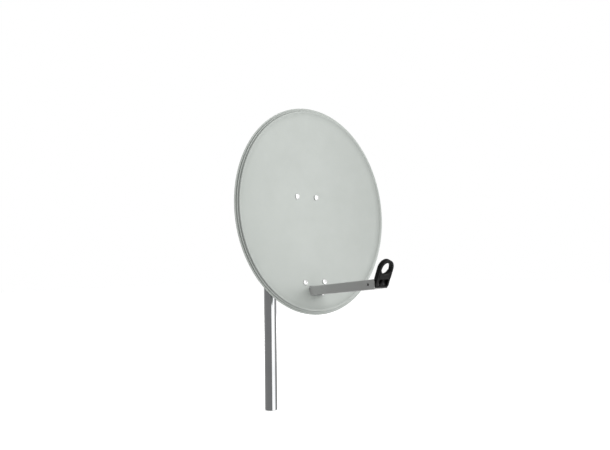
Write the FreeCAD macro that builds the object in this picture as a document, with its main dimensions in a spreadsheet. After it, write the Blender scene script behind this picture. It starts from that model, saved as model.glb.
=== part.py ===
"""Offset satellite dish: reflector, feed arm with its holder, and the adjustable mount on a mast.

Millimetres and degrees. +Z runs up the mast from the centre of its bottom end, and the dish faces -Y.
"""
import FreeCAD, Part
import math
import os
import re

import Sketcher
from FreeCAD import Placement, Rotation, Vector

SIZES = {
    # mast
    "mast_radius": 25.4, "mast_wall": 2.0, "mast_height": 785.0, "cap_skirt": 22.0, "cap_wall": 2.2,
    "cap_top": 2.5, "cap_round": 1.5,
    # reflector: ellipse of the rim's crest, paraboloid and sheet
    "crest_across": 340.2, "crest_up": 374.9, "focal_length": 447.0, "offset_angle": 24.6,
    "aperture_radius": 348.0, "reflector_sheet": 1.2, "bowl_sweep": 62.0,
    "dish_y": -313.4, "dish_z": 793.0, "dish_tilt": 3.24,
    # places of the reflector bolts on the aperture, and of the foot behind them
    "bolt_across": 46.2, "upper_bolt": 83.1, "lower_bolt": -253.8, "foot_gap": 0.65, "foot_reach": 60.0,
    "foot_half": 20.0, "reflector_bolt": 24.0, "dome_radius": 10.0, "dome_rise": 4.6, "dome_raised": 0.62,
    # opening of the reflector round the arm, in the arm's frame
    "slot_half": 32.0, "slot_low": -21.5, "slot_high": 18.0, "slot_round": 5.0,
    # feed arm
    "arm_width": 60.0, "arm_height": 32.5, "arm_wall": 1.6, "arm_front": 310.0, "arm_rear": 112.0,
    "arm_up": -298.7, "arm_rise": 2.29, "arm_corner": 3.5, "arm_bolt_front": 58.0, "arm_bolt_rear": 88.0,
    "holder_hole": 4.75, "holder_hole_back": 31.0, "arm_bolt_tail": 11.0, "plug_depth": 12.0, "plug_wall": 2.0,
    "plug_fit": 0.2, "plug_lip": 2.5, "lip_inset": 0.3, "lip_round": 3.0,
    # side plates and yoke
    "sheet": 2.5, "plate_inner": 30.6, "plate_round": 7.0, "cheek_inner": 33.4, "cheek_round": 9.0,
    "yoke_sheet": 3.0, "yoke_back": 36.0, "yoke_margin": 4.0, "yoke_rise": 20.0, "yoke_round": 8.0,
    "yoke_window": 16.0,
    # bridge between the side plates and its rivets, in the dish frame
    "bridge_front": 76.0, "bridge_length": 48.0, "bridge_low": 50.0, "bridge_high": 70.0, "bridge_gap": 0.1,
    "rivet": 2.5, "rivet_hole": 2.6, "rivet_front": 88.0, "rivet_rear": 112.0, "rivet_up": 60.0,
    "rivet_head": 4.6, "rivet_rise": 2.2, "rivet_tail": 4.4, "rivet_tail_rise": 1.6,
    # elevation pivot and lock
    "pivot_y": -120.0, "pivot_z": 700.0, "pivot_radius": 5.0, "lock_distance": 68.0, "lock_slot": 4.5,
    "tilt_up": 22.0, "tilt_down": 18.0, "pivot_flats": 17.0, "pivot_head": 6.4, "pivot_nut": 8.4,
    "pivot_tail": 13.0, "broad_washer": 2.0, "pivot_washer": 10.0, "spacer_radius": 9.0, "lock_bolt": 24.0,
    "lock_head": 8.5, "lock_rise": 4.0, "lock_washer": 12.0,
    # mast clamp
    "jaw_height": 24.0, "jaw_half": 54.0, "jaw_gap": 0.3, "upper_jaw": 742.0, "lower_jaw": 658.0,
    "clamp_bolt": 44.0, "clamp_reach": 62.0, "jaw_wall": 3.0, "jaw_edge": 27.0, "jaw_shoulder": 8.5,
    "jaw_angle": 30.0, "tooth_pitch": 5.0, "tooth_depth": 1.6, "tooth_start": 1.0,
    # M8 fasteners and the smaller screws
    "eight": 4.0, "eight_hole": 4.4, "eight_flats": 13.0, "eight_head": 5.3, "eight_nut": 6.5,
    "washer_radius": 8.0, "washer": 1.6, "running": 0.05, "four": 2.0, "five": 2.5,
    "drill": 40.0,
    # holder of the feed
    "ring_up": -236.4, "ring_front": 334.5, "ring_tilt": 26.4, "neck_radius": 20.1, "ring_radius": 31.0,
    "ring_depth": 16.0, "ring_chamfer": 2.5, "seam": 33.0, "seam_gap": 0.3, "saddle_half": 22.5,
    "saddle_top": 8.0, "leg_inner": 22.8, "base_half": 30.0, "base_round": 2.0, "base_gap": 0.3,
    "base_lip": 2.5, "base_chin": 11.0, "chin_front": 3.2, "tongue_reach": 46.0, "tongue_height": 29.0,
    "tongue_fit": 0.3, "tongue_wall": 4.1, "tongue_end": 10.0,
    # pockets in the front of the base, each side of its rib
    "rib_half": 2.5, "pocket_side": 22.0, "pocket_low": 57.0, "pocket_high": 38.0, "pocket_depth": 11.0,
    # strap screws, their square nuts and the cross bolt
    "strap_screw": 27.0, "screw_length": 27.0, "screw_head": 3.5, "screw_rise": 3.0, "screw_start": 41.1,
    "screw_hole": 2.2, "screw_bore": 21.0, "well": 12.0, "well_width": 9.0, "well_bottom": 50.0,
    "nut_level": 24.0, "square_nut": 6.4, "square_rise": 3.0, "nut_slot": 6.6, "nut_slot_rise": 3.4,
    "slot_depth": 12.0, "cross_head": 4.4, "cross_rise": 3.0, "cross_length": 55.0, "cross_start": 28.6,
    "cross_socket": 4.0, "socket_depth": 2.0, "cross_hole": 2.7, "cross_counterbore": 4.65,
    "cross_flats": 8.0, "cross_nut": 3.2, "cross_nut_start": 24.6,
}

doc = FreeCAD.newDocument("SatelliteDish")
sheet = doc.addObject("Spreadsheet::Sheet", "Sizes")
for row, (alias, amount) in enumerate(SIZES.items(), start=1):
    sheet.set(f"A{row}", alias)
    sheet.set(f"B{row}", str(amount))
    sheet.setAlias(f"B{row}", alias)
doc.recompute()

ALIAS = re.compile(r"[a-z][a-z_]*")
nodes = []


def bound(formula):
    """The formula with each alias written as a cell of the sheet."""
    return ALIAS.sub(lambda word: f"Sizes.{word[0]}" if word[0] in SIZES else word[0], str(formula))


def number(formula):
    return float(sheet.evalExpression(bound(formula)))


def bind(item, **sizes):
    for name, formula in sizes.items():
        item.setExpression(name, bound(formula))
    return item


def node(item, name, place=None):
    """Label a finished sub-part and put it in its place."""
    item.Label = name
    if place is not None:
        item.Placement = place
    nodes.append(item)
    return item


# ---------------------------------------------------------------- frames
def about_x(angle):
    return Rotation(Vector(1, 0, 0), angle)


def frame_at(y, z, angle=0.0):
    return Placement(Vector(0, number(y), number(z)), about_x(angle))


TURN = {
    "+x": Rotation(Vector(0, 1, 0), 90), "-x": Rotation(Vector(0, 1, 0), -90),
    "+y": Rotation(Vector(1, 0, 0), -90), "-y": Rotation(Vector(1, 0, 0), 90),
    "+z": Rotation(), "-z": Rotation(Vector(1, 0, 0), 180),
}
MAST = Placement()
# the dish frame lies in the plane of the rim: x across, y rearward, z up
DISH = frame_at("dish_y", "dish_z", -number("dish_tilt"))
ARM = DISH * frame_at(0, "arm_up", -number("arm_rise"))
RING = DISH * frame_at("-ring_front", "ring_up", number("ring_tilt"))


def spot(frame, x, y, z, facing="+z"):
    """A placement in a frame whose own +z looks along one of the frame's axes."""
    return frame * Placement(Vector(number(x), number(y), number(z)), TURN[facing])


# ---------------------------------------------------------------- solids made of primitives
def cylinder(radius, height, place=None):
    item = bind(doc.addObject("Part::Cylinder", "Cylinder"), Radius=radius, Height=height)
    item.Placement = place or Placement()
    return item


def box(length, width, height, place=None):
    """A block centred on x and y that rises from z = 0."""
    item = bind(doc.addObject("Part::Box", "Box"), Length=length, Width=width, Height=height)
    centre = Placement(Vector(-number(length) / 2, -number(width) / 2, 0), Rotation())
    item.Placement = (place or Placement()) * centre
    return item


def hexagon(across_flats, height, place=None):
    item = doc.addObject("Part::Prism", "Hexagon")
    item.Polygon = 6
    bind(item, Circumradius=f"({across_flats}) / sqrt(3)", Height=height)
    item.Placement = place or Placement()
    return item


def fuse(*items):
    joined = doc.addObject("Part::MultiFuse", "Fuse")
    joined.Shapes = list(items)
    return joined


def cut(base, *tools):
    item = doc.addObject("Part::Cut", "Cut")
    item.Base = base
    item.Tool = tools[0] if len(tools) == 1 else fuse(*tools)
    return item


def group(*items):
    gathered = doc.addObject("Part::Compound", "Group")
    gathered.Links = list(items)
    return gathered


def low(depth):
    return Placement(Vector(0, 0, -number(depth)), Rotation())


def tube(outer, inner, height):
    return cut(cylinder(outer, height), cylinder(inner, f"({height}) + 2", low(1)))


def drilled(radius, frame, facing="+y"):
    """A drill's path through a frame's origin, both ways."""
    return cylinder(radius, "2 * drill", frame * Placement(Vector(), TURN[facing]) * low("drill"))


def hex_bolt(radius, length, flats="eight_flats", head="eight_head"):
    """Head below z = 0, shank above it."""
    return fuse(hexagon(flats, head, low(head)), cylinder(radius, length))


def dome_bolt(radius, length, cap_radius, cap_rise):
    """Carriage bolt: a domed head below z = 0, shank above it."""
    ball = number(f"(({cap_radius})^2 + ({cap_rise})^2) / (2 * ({cap_rise}))")
    dome = bind(doc.addObject("Part::Sphere", "Dome"),
                Radius=f"(({cap_radius})^2 + ({cap_rise})^2) / (2 * ({cap_rise}))")
    dome.Angle1 = math.degrees(math.asin((ball - number(cap_rise)) / ball))
    dome.Angle2 = 90
    dome.Placement = Placement(Vector(0, 0, ball - number(cap_rise)), Rotation(Vector(1, 0, 0), 180))
    return fuse(dome, cylinder(radius, length))


def nut(bore, flats="eight_flats", height="eight_nut"):
    return cut(hexagon(flats, height), cylinder(bore, f"({height}) + 2", low(1)))


def placed(item, place):
    item.Placement = place
    return item


# ---------------------------------------------------------------- bodies made of sketches
def body(name):
    return doc.addObject("PartDesign::Body", name)


def sketch_on(part, role, offset="0"):
    """A sketch on an origin plane, moved along the plane's normal."""
    plane = next(f for f in part.Origin.OriginFeatures if f.Role == role)
    sketch = part.newObject("Sketcher::SketchObject", "Outline")
    sketch.AttachmentSupport = (plane, [""])
    sketch.MapMode = "FlatFace"
    sketch.AttachmentOffset = Placement(Vector(0, 0, number(offset)), Rotation())
    return sketch


def pin_point(sketch, line, end, x, y):
    """Dimension a point from the sketch's origin, each way, with a formula."""
    for kind, formula, axis in (("DistanceX", x, -2), ("DistanceY", y, -1)):
        amount = number(formula)
        if abs(amount) < 1e-9:
            sketch.addConstraint(Sketcher.Constraint("PointOnObject", line, end, axis))
            continue
        held = sketch.addConstraint(Sketcher.Constraint(kind, -1, 1, line, end, amount))
        sketch.setExpression(f"Constraints[{held}]", bound(formula))


def polygon(sketch, corners):
    points = [Vector(number(x), number(y), 0) for x, y in corners]
    first = sketch.GeometryCount
    for start, end in zip(points, points[1:] + points[:1]):
        sketch.addGeometry(Part.LineSegment(start, end))
    for turn, (x, y) in enumerate(corners):
        following = first + (turn + 1) % len(corners)
        sketch.addConstraint(Sketcher.Constraint("Coincident", first + turn, 2, following, 1))
        pin_point(sketch, first + turn, 1, x, y)
    return sketch


def rectangle(sketch, left, bottom, right, top):
    return polygon(sketch, [(left, bottom), (right, bottom), (right, top), (left, top)])


def circle(sketch, x, y, radius):
    line = sketch.addGeometry(Part.Circle(Vector(number(x), number(y), 0), Vector(0, 0, 1), number(radius)))
    pin_point(sketch, line, 3, x, y)
    held = sketch.addConstraint(Sketcher.Constraint("Radius", line, number(radius)))
    sketch.setExpression(f"Constraints[{held}]", bound(radius))
    return sketch


def curve(sketch, *edges):
    """Arcs and lines worked out from the sheet, held still in the sketch."""
    for edge in edges:
        line = sketch.addGeometry(edge)
        sketch.addConstraint(Sketcher.Constraint("Block", line))
    return sketch


def arc(centre, radius, start, end):
    """Counter-clockwise arc between two angles in degrees."""
    whole = Part.Circle(Vector(*centre, 0), Vector(0, 0, 1), radius)
    return Part.ArcOfCircle(whole, math.radians(start), math.radians(end))


def feature(part, kind, sketch, length, both=False, back=False):
    """A pad or a pocket, checked to have added or removed material."""
    doc.recompute()
    before = part.Shape.Volume if part.Tip else 0.0
    made = part.newObject(f"PartDesign::{kind}", kind)
    made.Profile = sketch
    bind(made, Length=length)
    made.SideType = "Symmetric" if both else "One side"
    made.Reversed = back
    doc.recompute()
    change = made.Shape.Volume - before
    if (change > 0) != (kind == "Pad") or abs(change) < 1e-3:
        raise RuntimeError(f"{part.Name}: {kind} changed the volume by {change}")
    return made


def edges_along(shape, direction, test=lambda edge: True):
    """Names of straight edges parallel to a direction."""
    names = []
    for count, edge in enumerate(shape.Edges, start=1):
        if edge.Curve.TypeId != "Part::GeomLine" or not test(edge):
            continue
        if abs(abs(edge.tangentAt(edge.FirstParameter).dot(direction)) - 1) < 1e-6:
            names.append(f"Edge{count}")
    return names


def round_edges(part, names, radius):
    doc.recompute()
    base = part.Tip
    made = part.newObject("PartDesign::Fillet", "Fillet")
    made.Base = (base, names)
    bind(made, Radius=radius)
    doc.recompute()
    return made


# ---------------------------------------------------------------- mast
def make_mast():
    node(tube("mast_radius", "mast_radius - mast_wall", "mast_height"), "mast_tube")
    skirt = cylinder("mast_radius + running + cap_wall", "cap_skirt + cap_top")
    hollow = cylinder("mast_radius + running", "cap_skirt + 1", low(1))
    cap = doc.addObject("Part::Fillet", "Cap")
    cap.Base = cut(skirt, hollow)
    doc.recompute()
    top = number("cap_skirt + cap_top")
    rim = [n for n, edge in enumerate(cap.Base.Shape.Edges, start=1)
           if edge.Curve.TypeId == "Part::GeomCircle" and abs(edge.CenterOfMass.z - top) < 1e-6]
    cap.Edges = [(n, number("cap_round"), number("cap_round")) for n in rim]
    node(cap, "mast_cap", frame_at(0, "mast_height - cap_skirt"))


# ---------------------------------------------------------------- reflector
def rim_depth(across, up):
    """Distance from the aperture to the paraboloid, along its axis."""
    return (f"(aperture_radius^2 - ({across})^2 - (({up}) * cos(offset_angle))^2)"
            " / (4 * focal_length)")


def on_dish(across, up):
    """A point of the front surface, and the slope of the surface there, in the dish frame."""
    depth = number(rim_depth(across, up))
    slant = math.radians(number("offset_angle"))
    fall = -number(up) * math.cos(slant) ** 2 / (2 * number("focal_length"))
    slope = math.degrees(math.atan2(-fall * math.cos(slant), 1 - fall * math.sin(slant)))
    point = Vector(number(across), depth * math.cos(slant), number(up) - depth * math.sin(slant))
    return point, slope


def bolt_frames():
    """Frames at the four reflector bolts, y along each bolt, rearward."""
    frames = []
    for up in ("upper_bolt", "lower_bolt"):
        for side in (-1, 1):
            point, slope = on_dish(f"{side} * bolt_across", up)
            frames.append(DISH * Placement(point, about_x(slope)))
    return frames


def strip(points, radii, thickness):
    """Closed wire of a bent sheet: both sides of a path whose inner corners are rounded."""
    half = thickness / 2
    sides = {1: [], -1: []}
    for side, edges in sides.items():
        start = None
        for here, corner in enumerate(points):
            ahead = (points[here + 1] - corner).normalize() if here + 1 < len(points) else None
            behind = (corner - points[here - 1]).normalize() if here else None
            along = ahead or behind
            across = Vector(-along.y, along.x, 0) * side * half
            if ahead is None or behind is None:
                place = corner + across
                if start:
                    edges.append(Part.LineSegment(start, place).toShape())
                start = place
                continue
            turn = behind.cross(ahead).z
            reach = radii[here] * math.tan(behind.getAngle(ahead) / 2)
            first = corner - behind * reach
            last = corner + ahead * reach
            inward = Vector(-behind.y, behind.x, 0) * math.copysign(1, turn)
            centre = first + inward * radii[here]
            ring = radii[here] - half * side * math.copysign(1, turn)
            one = centre + (first - centre).normalize() * ring
            two = centre + (last - centre).normalize() * ring
            middle = centre + ((first + last) / 2 - centre).normalize() * ring
            if start.distanceToPoint(one) > 1e-6:
                edges.append(Part.LineSegment(start, one).toShape())
            edges.append(Part.Arc(one, middle, two).toShape())
            start = two
    ends = [Part.LineSegment(points[0] + Vector(-a.y, a.x, 0) * half,
                             points[0] - Vector(-a.y, a.x, 0) * half).toShape()
            for a in [(points[1] - points[0]).normalize()]]
    ends += [Part.LineSegment(points[-1] + Vector(-a.y, a.x, 0) * half,
                              points[-1] - Vector(-a.y, a.x, 0) * half).toShape()
             for a in [(points[-1] - points[-2]).normalize()]]
    return Part.Wire(Part.__sortEdges__(sides[1] + sides[-1] + ends))


RIM_PATH = [(-4.2, 7.2), (-4.2, 0.6), (3.2, 0.6), (3.2, 7.4), (8.4, 7.4), (8.4, 13.4), (15.0, 13.4)]
RIM_BENDS = [0, 3.4, 3.4, 1.4, 1.4, 1.4, 0]


def reflector_shell():
    """Paraboloid sheet, cut by the ellipse of the rim; written in the dish frame."""
    focal, slant = number("focal_length"), math.radians(number("offset_angle"))
    centre = 2 * focal * math.tan(slant)
    near, far = centre - number("aperture_radius"), centre + number("aperture_radius")
    thick = number("reflector_sheet")

    def parabola(shift):
        bezier = Part.BezierCurve()
        poles = [(near, near ** 2), ((near + far) / 2, near * far), (far, far ** 2)]
        bezier.setPoles([Vector(0, r, w / (4 * focal) - shift) for r, w in poles])
        return bezier.toShape()

    front, rear = parabola(0), parabola(thick)
    closing = [Part.LineSegment(front.Vertexes[k].Point, rear.Vertexes[k].Point).toShape() for k in (0, 1)]
    section = Part.Face(Part.Wire(Part.__sortEdges__([front, rear] + closing)))
    sweep = number("bowl_sweep")
    section.rotate(Vector(), Vector(0, 0, 1), sweep)
    bowl = section.revolve(Vector(), Vector(0, 0, 1), -2 * sweep)
    # from the paraboloid's axis to the dish frame
    middle = (near ** 2 + far ** 2) / (8 * focal)
    bowl.translate(Vector(0, -centre, -middle))
    bowl.rotate(Vector(), Vector(1, 0, 0), 90 - math.degrees(slant))
    inset = RIM_PATH[0][0]
    return bowl.common(elliptic_disc(inset))


def rim_ellipse(grow):
    return Part.Ellipse(Vector(0, 0, number("crest_up") + grow), Vector(number("crest_across") + grow, 0, 0),
                        Vector())


def elliptic_disc(grow):
    """The rim's outline grown by an amount, deep enough for the whole bowl."""
    depth = number("crest_across")
    face = Part.Face(Part.Wire(rim_ellipse(grow).toShape()))
    face.translate(Vector(0, -depth / 2, 0))
    return face.extrude(Vector(0, depth, 0))


def reflector_rim():
    """The rolled bead, step and flange, swept round the ellipse."""
    points = [Vector(outward, back, 0) for outward, back in RIM_PATH]
    section = strip(points, RIM_BENDS, number("reflector_sheet"))
    section.rotate(Vector(), Vector(0, 1, 0), -90)
    section.translate(Vector(0, 0, number("crest_up")))
    spine = Part.Wire(rim_ellipse(0).toShape())
    return spine.makePipeShell([section], True, True)


def make_reflector():
    shape = reflector_shell().fuse(reflector_rim())
    reach = number("drill")
    drill = Part.makeCylinder(number("eight_hole"), 2 * reach, Vector(0, -reach, 0), Vector(0, 1, 0))
    to_dish = DISH.inverse()
    tools = []
    for frame in bolt_frames():
        hole = drill.copy()
        hole.Placement = to_dish * frame
        tools.append(hole)
    half, bottom, top = number("slot_half"), number("slot_low"), number("slot_high")
    slot = Part.makeBox(2 * half, 4 * reach, top - bottom, Vector(-half, -2 * reach, bottom))
    slot = slot.makeFillet(number("slot_round"), [e for e in slot.Edges if abs(e.tangentAt(0).y) > 0.99])
    slot.Placement = to_dish * ARM
    tools.append(slot)
    reflector = doc.addObject("Part::Feature", "Reflector")
    reflector.Shape = shape.cut(tools)
    node(reflector, "reflector", DISH)


# ---------------------------------------------------------------- back bracket
def in_dish(frame, y, z):
    """A point of another frame as sketch coordinates (y, z) of the dish frame."""
    point = (DISH.inverse() * frame).multVec(Vector(0, number(y), number(z)))
    return round(point.y, 3), round(point.z, 3)


# corners of the side plate that carry nothing, and its lightening windows, in the dish frame
PLATE_FRONT = [(49, -246), (66, -170), (73, -90), (73, -20), (67, 34)]
PLATE_TOP = [(118, 80), (142, 66)]
PLATE_BOTTOM = [(136, -284), (124, -325), (36, -325)]
PLATE_WINDOWS = [(118, -20, 22), (118, -118, 26), (100, -215, 20)]


def side_plate_outline():
    upper, lower = bolt_frames()[0], bolt_frames()[2]
    face = "reflector_sheet + foot_gap"
    pivot_y, pivot_z = in_dish(frame_at("pivot_y", "pivot_z"), 0, 0)
    lock_y, lock_z = in_dish(frame_at("pivot_y", "pivot_z - lock_distance"), 0, 0)
    low_y, low_z = in_dish(lower, face, "-foot_half")
    return [
        (low_y, low_z), in_dish(lower, face, "foot_half"), *PLATE_FRONT, in_dish(upper, face, "-foot_half"),
        in_dish(upper, face, "foot_half"), *PLATE_TOP, (pivot_y + 14, pivot_z + 27),
        (pivot_y + 26, pivot_z + 12), (pivot_y + 26, pivot_z - 16), (lock_y + 20, lock_z + 6),
        (lock_y + 16, lock_z - 14), (lock_y - 6, lock_z - 22), *PLATE_BOTTOM,
    ]


def foot(frame, side):
    """A flange against the reflector's back, with the bolt's hole in it."""
    across = number(f"{side} * (plate_inner + foot_reach) / 2")
    front = number("reflector_sheet + foot_gap")
    slab = box("foot_reach - plate_inner", "2 * foot_half", "sheet")
    offset = Vector(across - side * number("bolt_across"), front, 0)
    slab.Placement = frame * Placement(offset, TURN["+y"]) * slab.Placement
    return slab, drilled("eight_hole", frame)


def make_side_plate(side, name):
    plate = body("SidePlate")
    start = "plate_inner" if side > 0 else "-plate_inner - sheet"
    feature(plate, "Pad", polygon(sketch_on(plate, "YZ_Plane", start), side_plate_outline()), "sheet")
    back, bottom = PLATE_TOP[0][0] - 1, PLATE_BOTTOM[-1][1] + 1
    corners = edges_along(plate.Shape, Vector(1, 0, 0),
                          lambda edge: edge.CenterOfMass.y > back or edge.CenterOfMass.z < bottom)
    round_edges(plate, corners, "plate_round")
    holes = sketch_on(plate, "YZ_Plane", start)
    pivot = in_dish(frame_at("pivot_y", "pivot_z"), 0, 0)
    lock = in_dish(frame_at("pivot_y", "pivot_z - lock_distance"), 0, 0)
    circle(holes, *pivot, "pivot_radius + running")
    circle(holes, *lock, "eight + 0.1")
    for place in ("arm_bolt_front", "arm_bolt_rear"):
        circle(holes, *in_dish(ARM, place, 0), "eight_hole")
    for window in PLATE_WINDOWS:
        circle(holes, *window)
    for place in ("rivet_front", "rivet_rear"):
        circle(holes, place, "rivet_up", "rivet_hole")
    feature(plate, "Pocket", holes, "4 * sheet", both=True)
    plate.Placement = DISH
    feet = [foot(frame, side) for frame in bolt_frames()[(side > 0)::2]]
    whole = fuse(plate, *[slab for slab, hole in feet])
    node(cut(whole, *[hole for slab, hole in feet]), name)


def make_bridge():
    """Channel between the two side plates, riveted to them."""
    bridge = body("Bridge")
    inner, under = "plate_inner - bridge_gap", "bridge_high - sheet"
    section = polygon(sketch_on(bridge, "XZ_Plane", "-bridge_front"), [
        (f"-({inner})", "bridge_low"), (f"-({inner}) + sheet", "bridge_low"), (f"-({inner}) + sheet", under),
        (f"({inner}) - sheet", under), (f"({inner}) - sheet", "bridge_low"), (inner, "bridge_low"),
        (inner, "bridge_high"), (f"-({inner})", "bridge_high")])
    feature(bridge, "Pad", section, "bridge_length", back=True)
    holes = sketch_on(bridge, "YZ_Plane")
    for place in ("rivet_front", "rivet_rear"):
        circle(holes, place, "rivet_up", "rivet_hole")
    feature(bridge, "Pocket", holes, "4 * plate_inner", both=True)
    node(bridge, "bridge_plate", DISH)
    rivets = []
    grip = "2 * sheet + bridge_gap"
    for place in ("rivet_front", "rivet_rear"):
        for facing, side in (("+x", -1), ("-x", 1)):
            rivet = fuse(dome_bolt("rivet", grip, "rivet_head", "rivet_rise"),
                         cylinder("rivet_tail", "rivet_tail_rise", low(f"-({grip})")))
            outside = f"{side} * (plate_inner + sheet)"
            rivets.append(placed(rivet, spot(DISH, outside, place, "rivet_up", facing)))
    node(group(*rivets), "bridge_rivets")


def make_reflector_fasteners():
    behind = "reflector_sheet + foot_gap + sheet"
    bolts, washers, nuts = [], [], []
    for frame in bolt_frames():
        bolts.append(placed(dome_bolt("eight", "reflector_bolt", "dome_radius", "dome_rise"),
                            spot(frame, 0, "-dome_raised", 0, "+y")))
        washers.append(placed(tube("washer_radius", "eight_hole", "washer"), spot(frame, 0, behind, 0, "+y")))
        nuts.append(placed(nut("eight + running"), spot(frame, 0, f"{behind} + washer", 0, "+y")))
    node(group(*bolts), "reflector_bolts")
    node(group(*washers), "reflector_washers")
    node(group(*nuts), "reflector_nuts")


# ---------------------------------------------------------------- feed arm
def make_arm():
    arm = body("FeedArm")
    length = "arm_front + arm_rear"
    half, tall = "arm_width / 2", "arm_height / 2"
    feature(arm, "Pad", rectangle(sketch_on(arm, "XZ_Plane", "-arm_rear"),
                                  f"-{half}", f"-{tall}", half, tall), length)
    round_edges(arm, edges_along(arm.Shape, Vector(0, 1, 0)), "arm_corner")
    hollow = rectangle(sketch_on(arm, "XZ_Plane", "-arm_rear"), f"-{half} + arm_wall",
                       f"-{tall} + arm_wall", f"{half} - arm_wall", f"{tall} - arm_wall")
    feature(arm, "Pocket", hollow, length, back=True)
    holes = sketch_on(arm, "YZ_Plane")
    circle(holes, "arm_bolt_front", 0, "eight_hole")
    circle(holes, "arm_bolt_rear", 0, "eight_hole")
    circle(holes, "holder_hole_back - arm_front", 0, "holder_hole")
    feature(arm, "Pocket", holes, "2 * arm_width", both=True)
    node(arm, "feed_arm", ARM)

    plug = body("ArmPlug")
    inside, high = "arm_width / 2 - arm_wall - plug_fit", "arm_height / 2 - arm_wall - plug_fit"
    feature(plug, "Pad", rectangle(sketch_on(plug, "XZ_Plane", "-arm_rear"), f"-({inside})", f"-({high})",
                                   inside, high), "plug_depth")
    feature(plug, "Pocket", rectangle(sketch_on(plug, "XZ_Plane", "plug_depth - arm_rear"),
                                      f"plug_wall - ({inside})", f"plug_wall - ({high})",
                                      f"{inside} - plug_wall", f"{high} - plug_wall"), "plug_depth - plug_wall")
    wide, tall = "arm_width / 2 - lip_inset", "arm_height / 2 - lip_inset"
    feature(plug, "Pad", rectangle(sketch_on(plug, "XZ_Plane", "-arm_rear"), f"-({wide})", f"-({tall})",
                                   wide, tall), "plug_lip", back=True)
    rear = number("arm_rear")
    round_edges(plug, edges_along(plug.Shape, Vector(0, 1, 0), lambda edge: edge.CenterOfMass.y > rear),
                "lip_round")
    node(plug, "arm_end_plug", ARM)

    bolts, washers, nuts = [], [], []
    face = "plate_inner + sheet"
    for back in ("arm_bolt_front", "arm_bolt_rear"):
        bolts.append(placed(hex_bolt("eight", f"2 * ({face}) + 2 * washer + arm_bolt_tail"),
                            spot(ARM, f"-({face}) - washer", back, 0, "+x")))
        for facing, side in (("-x", -1), ("+x", 1)):
            washers.append(placed(tube("washer_radius", "eight_hole", "washer"),
                                  spot(ARM, f"{side} * ({face})", back, 0, facing)))
        nuts.append(placed(nut("eight + running"), spot(ARM, f"{face} + washer", back, 0, "+x")))
    node(group(*bolts), "arm_bolts")
    node(group(*washers), "arm_washers")
    node(group(*nuts), "arm_nuts")


# ---------------------------------------------------------------- yoke and elevation pivot
def lock_slot(sketch):
    """Curved slot round the pivot for the lock bolt's whole travel."""
    centre = (number("pivot_y"), number("pivot_z"))
    reach, half = number("lock_distance"), number("lock_slot")
    first, last = -90 - number("tilt_up"), -90 + number("tilt_down")

    def end(angle):
        turn = math.radians(angle)
        return centre[0] + reach * math.cos(turn), centre[1] + reach * math.sin(turn)

    curve(sketch, arc(centre, reach + half, first, last), arc(end(last), half, last, last + 180),
          arc(centre, reach - half, first, last), arc(end(first), half, first + 180, first + 360))


# outline of a cheek, y and z, from its upper root round its nose to its lower root
CHEEK = [("-yoke_back - 1", 758), (-92, 742), (-142, 726), (-153, 708), (-153, 686), (-170, 646), (-166, 624),
         (-146, 609), (-96, 609), (-76, 620), ("-yoke_back - 1", 648)]


def make_yoke():
    yoke = body("Yoke")
    outside = "2 * (cheek_inner + yoke_sheet)"
    feature(yoke, "Pad", polygon(sketch_on(yoke, "YZ_Plane"), CHEEK), outside, both=True)
    root = number("-yoke_back - yoke_sheet")
    round_edges(yoke, edges_along(yoke.Shape, Vector(1, 0, 0), lambda edge: edge.CenterOfMass.y < root),
                "cheek_round")
    gap = rectangle(sketch_on(yoke, "YZ_Plane"), "2 * pivot_y", 0, "-yoke_back - yoke_sheet", "mast_height")
    feature(yoke, "Pocket", gap, "2 * cheek_inner", both=True)
    plate = rectangle(sketch_on(yoke, "XZ_Plane", "yoke_back"), "-jaw_half - yoke_margin",
                      "lower_jaw - yoke_rise", "jaw_half + yoke_margin", "upper_jaw + yoke_rise")
    feature(yoke, "Pad", plate, "yoke_sheet")
    side = number("jaw_half")
    round_edges(yoke, edges_along(yoke.Shape, Vector(0, 1, 0), lambda edge: abs(edge.CenterOfMass.x) > side),
                "yoke_round")
    holes = sketch_on(yoke, "YZ_Plane")
    circle(holes, "pivot_y", "pivot_z", "pivot_radius + running")
    lock_slot(holes)
    feature(yoke, "Pocket", holes, "3 * cheek_inner", both=True)
    bores = sketch_on(yoke, "XZ_Plane", "yoke_back")
    for across in ("-clamp_bolt", "clamp_bolt"):
        for up in ("lower_jaw", "upper_jaw"):
            circle(bores, across, up, "eight_hole")
    circle(bores, 0, "(lower_jaw + upper_jaw) / 2", "yoke_window")
    feature(yoke, "Pocket", bores, "4 * yoke_sheet", both=True)
    node(yoke, "mast_yoke")


def make_pivot():
    outside = "cheek_inner + yoke_sheet"
    bolt = hex_bolt("pivot_radius", f"2 * ({outside} + broad_washer) + pivot_tail", "pivot_flats", "pivot_head")
    node(placed(bolt, spot(MAST, f"-({outside}) - broad_washer", "pivot_y", "pivot_z", "+x")), "pivot_bolt")
    washers = [placed(tube("pivot_washer", "pivot_radius + running", "broad_washer"),
                      spot(MAST, f"{side} * ({outside})", "pivot_y", "pivot_z", facing))
               for side, facing in ((-1, "-x"), (1, "+x"))]
    node(group(*washers), "pivot_washers")
    closing = nut("pivot_radius + running", "pivot_flats", "pivot_nut")
    node(placed(closing, spot(MAST, f"{outside} + broad_washer", "pivot_y", "pivot_z", "+x")), "pivot_nut")
    sleeve = tube("spacer_radius", "pivot_radius + 2 * running", "2 * (plate_inner - running)")
    place = spot(MAST, "-plate_inner + running", "pivot_y", "pivot_z", "+x")
    node(placed(sleeve, place), "pivot_spacer")


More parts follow.
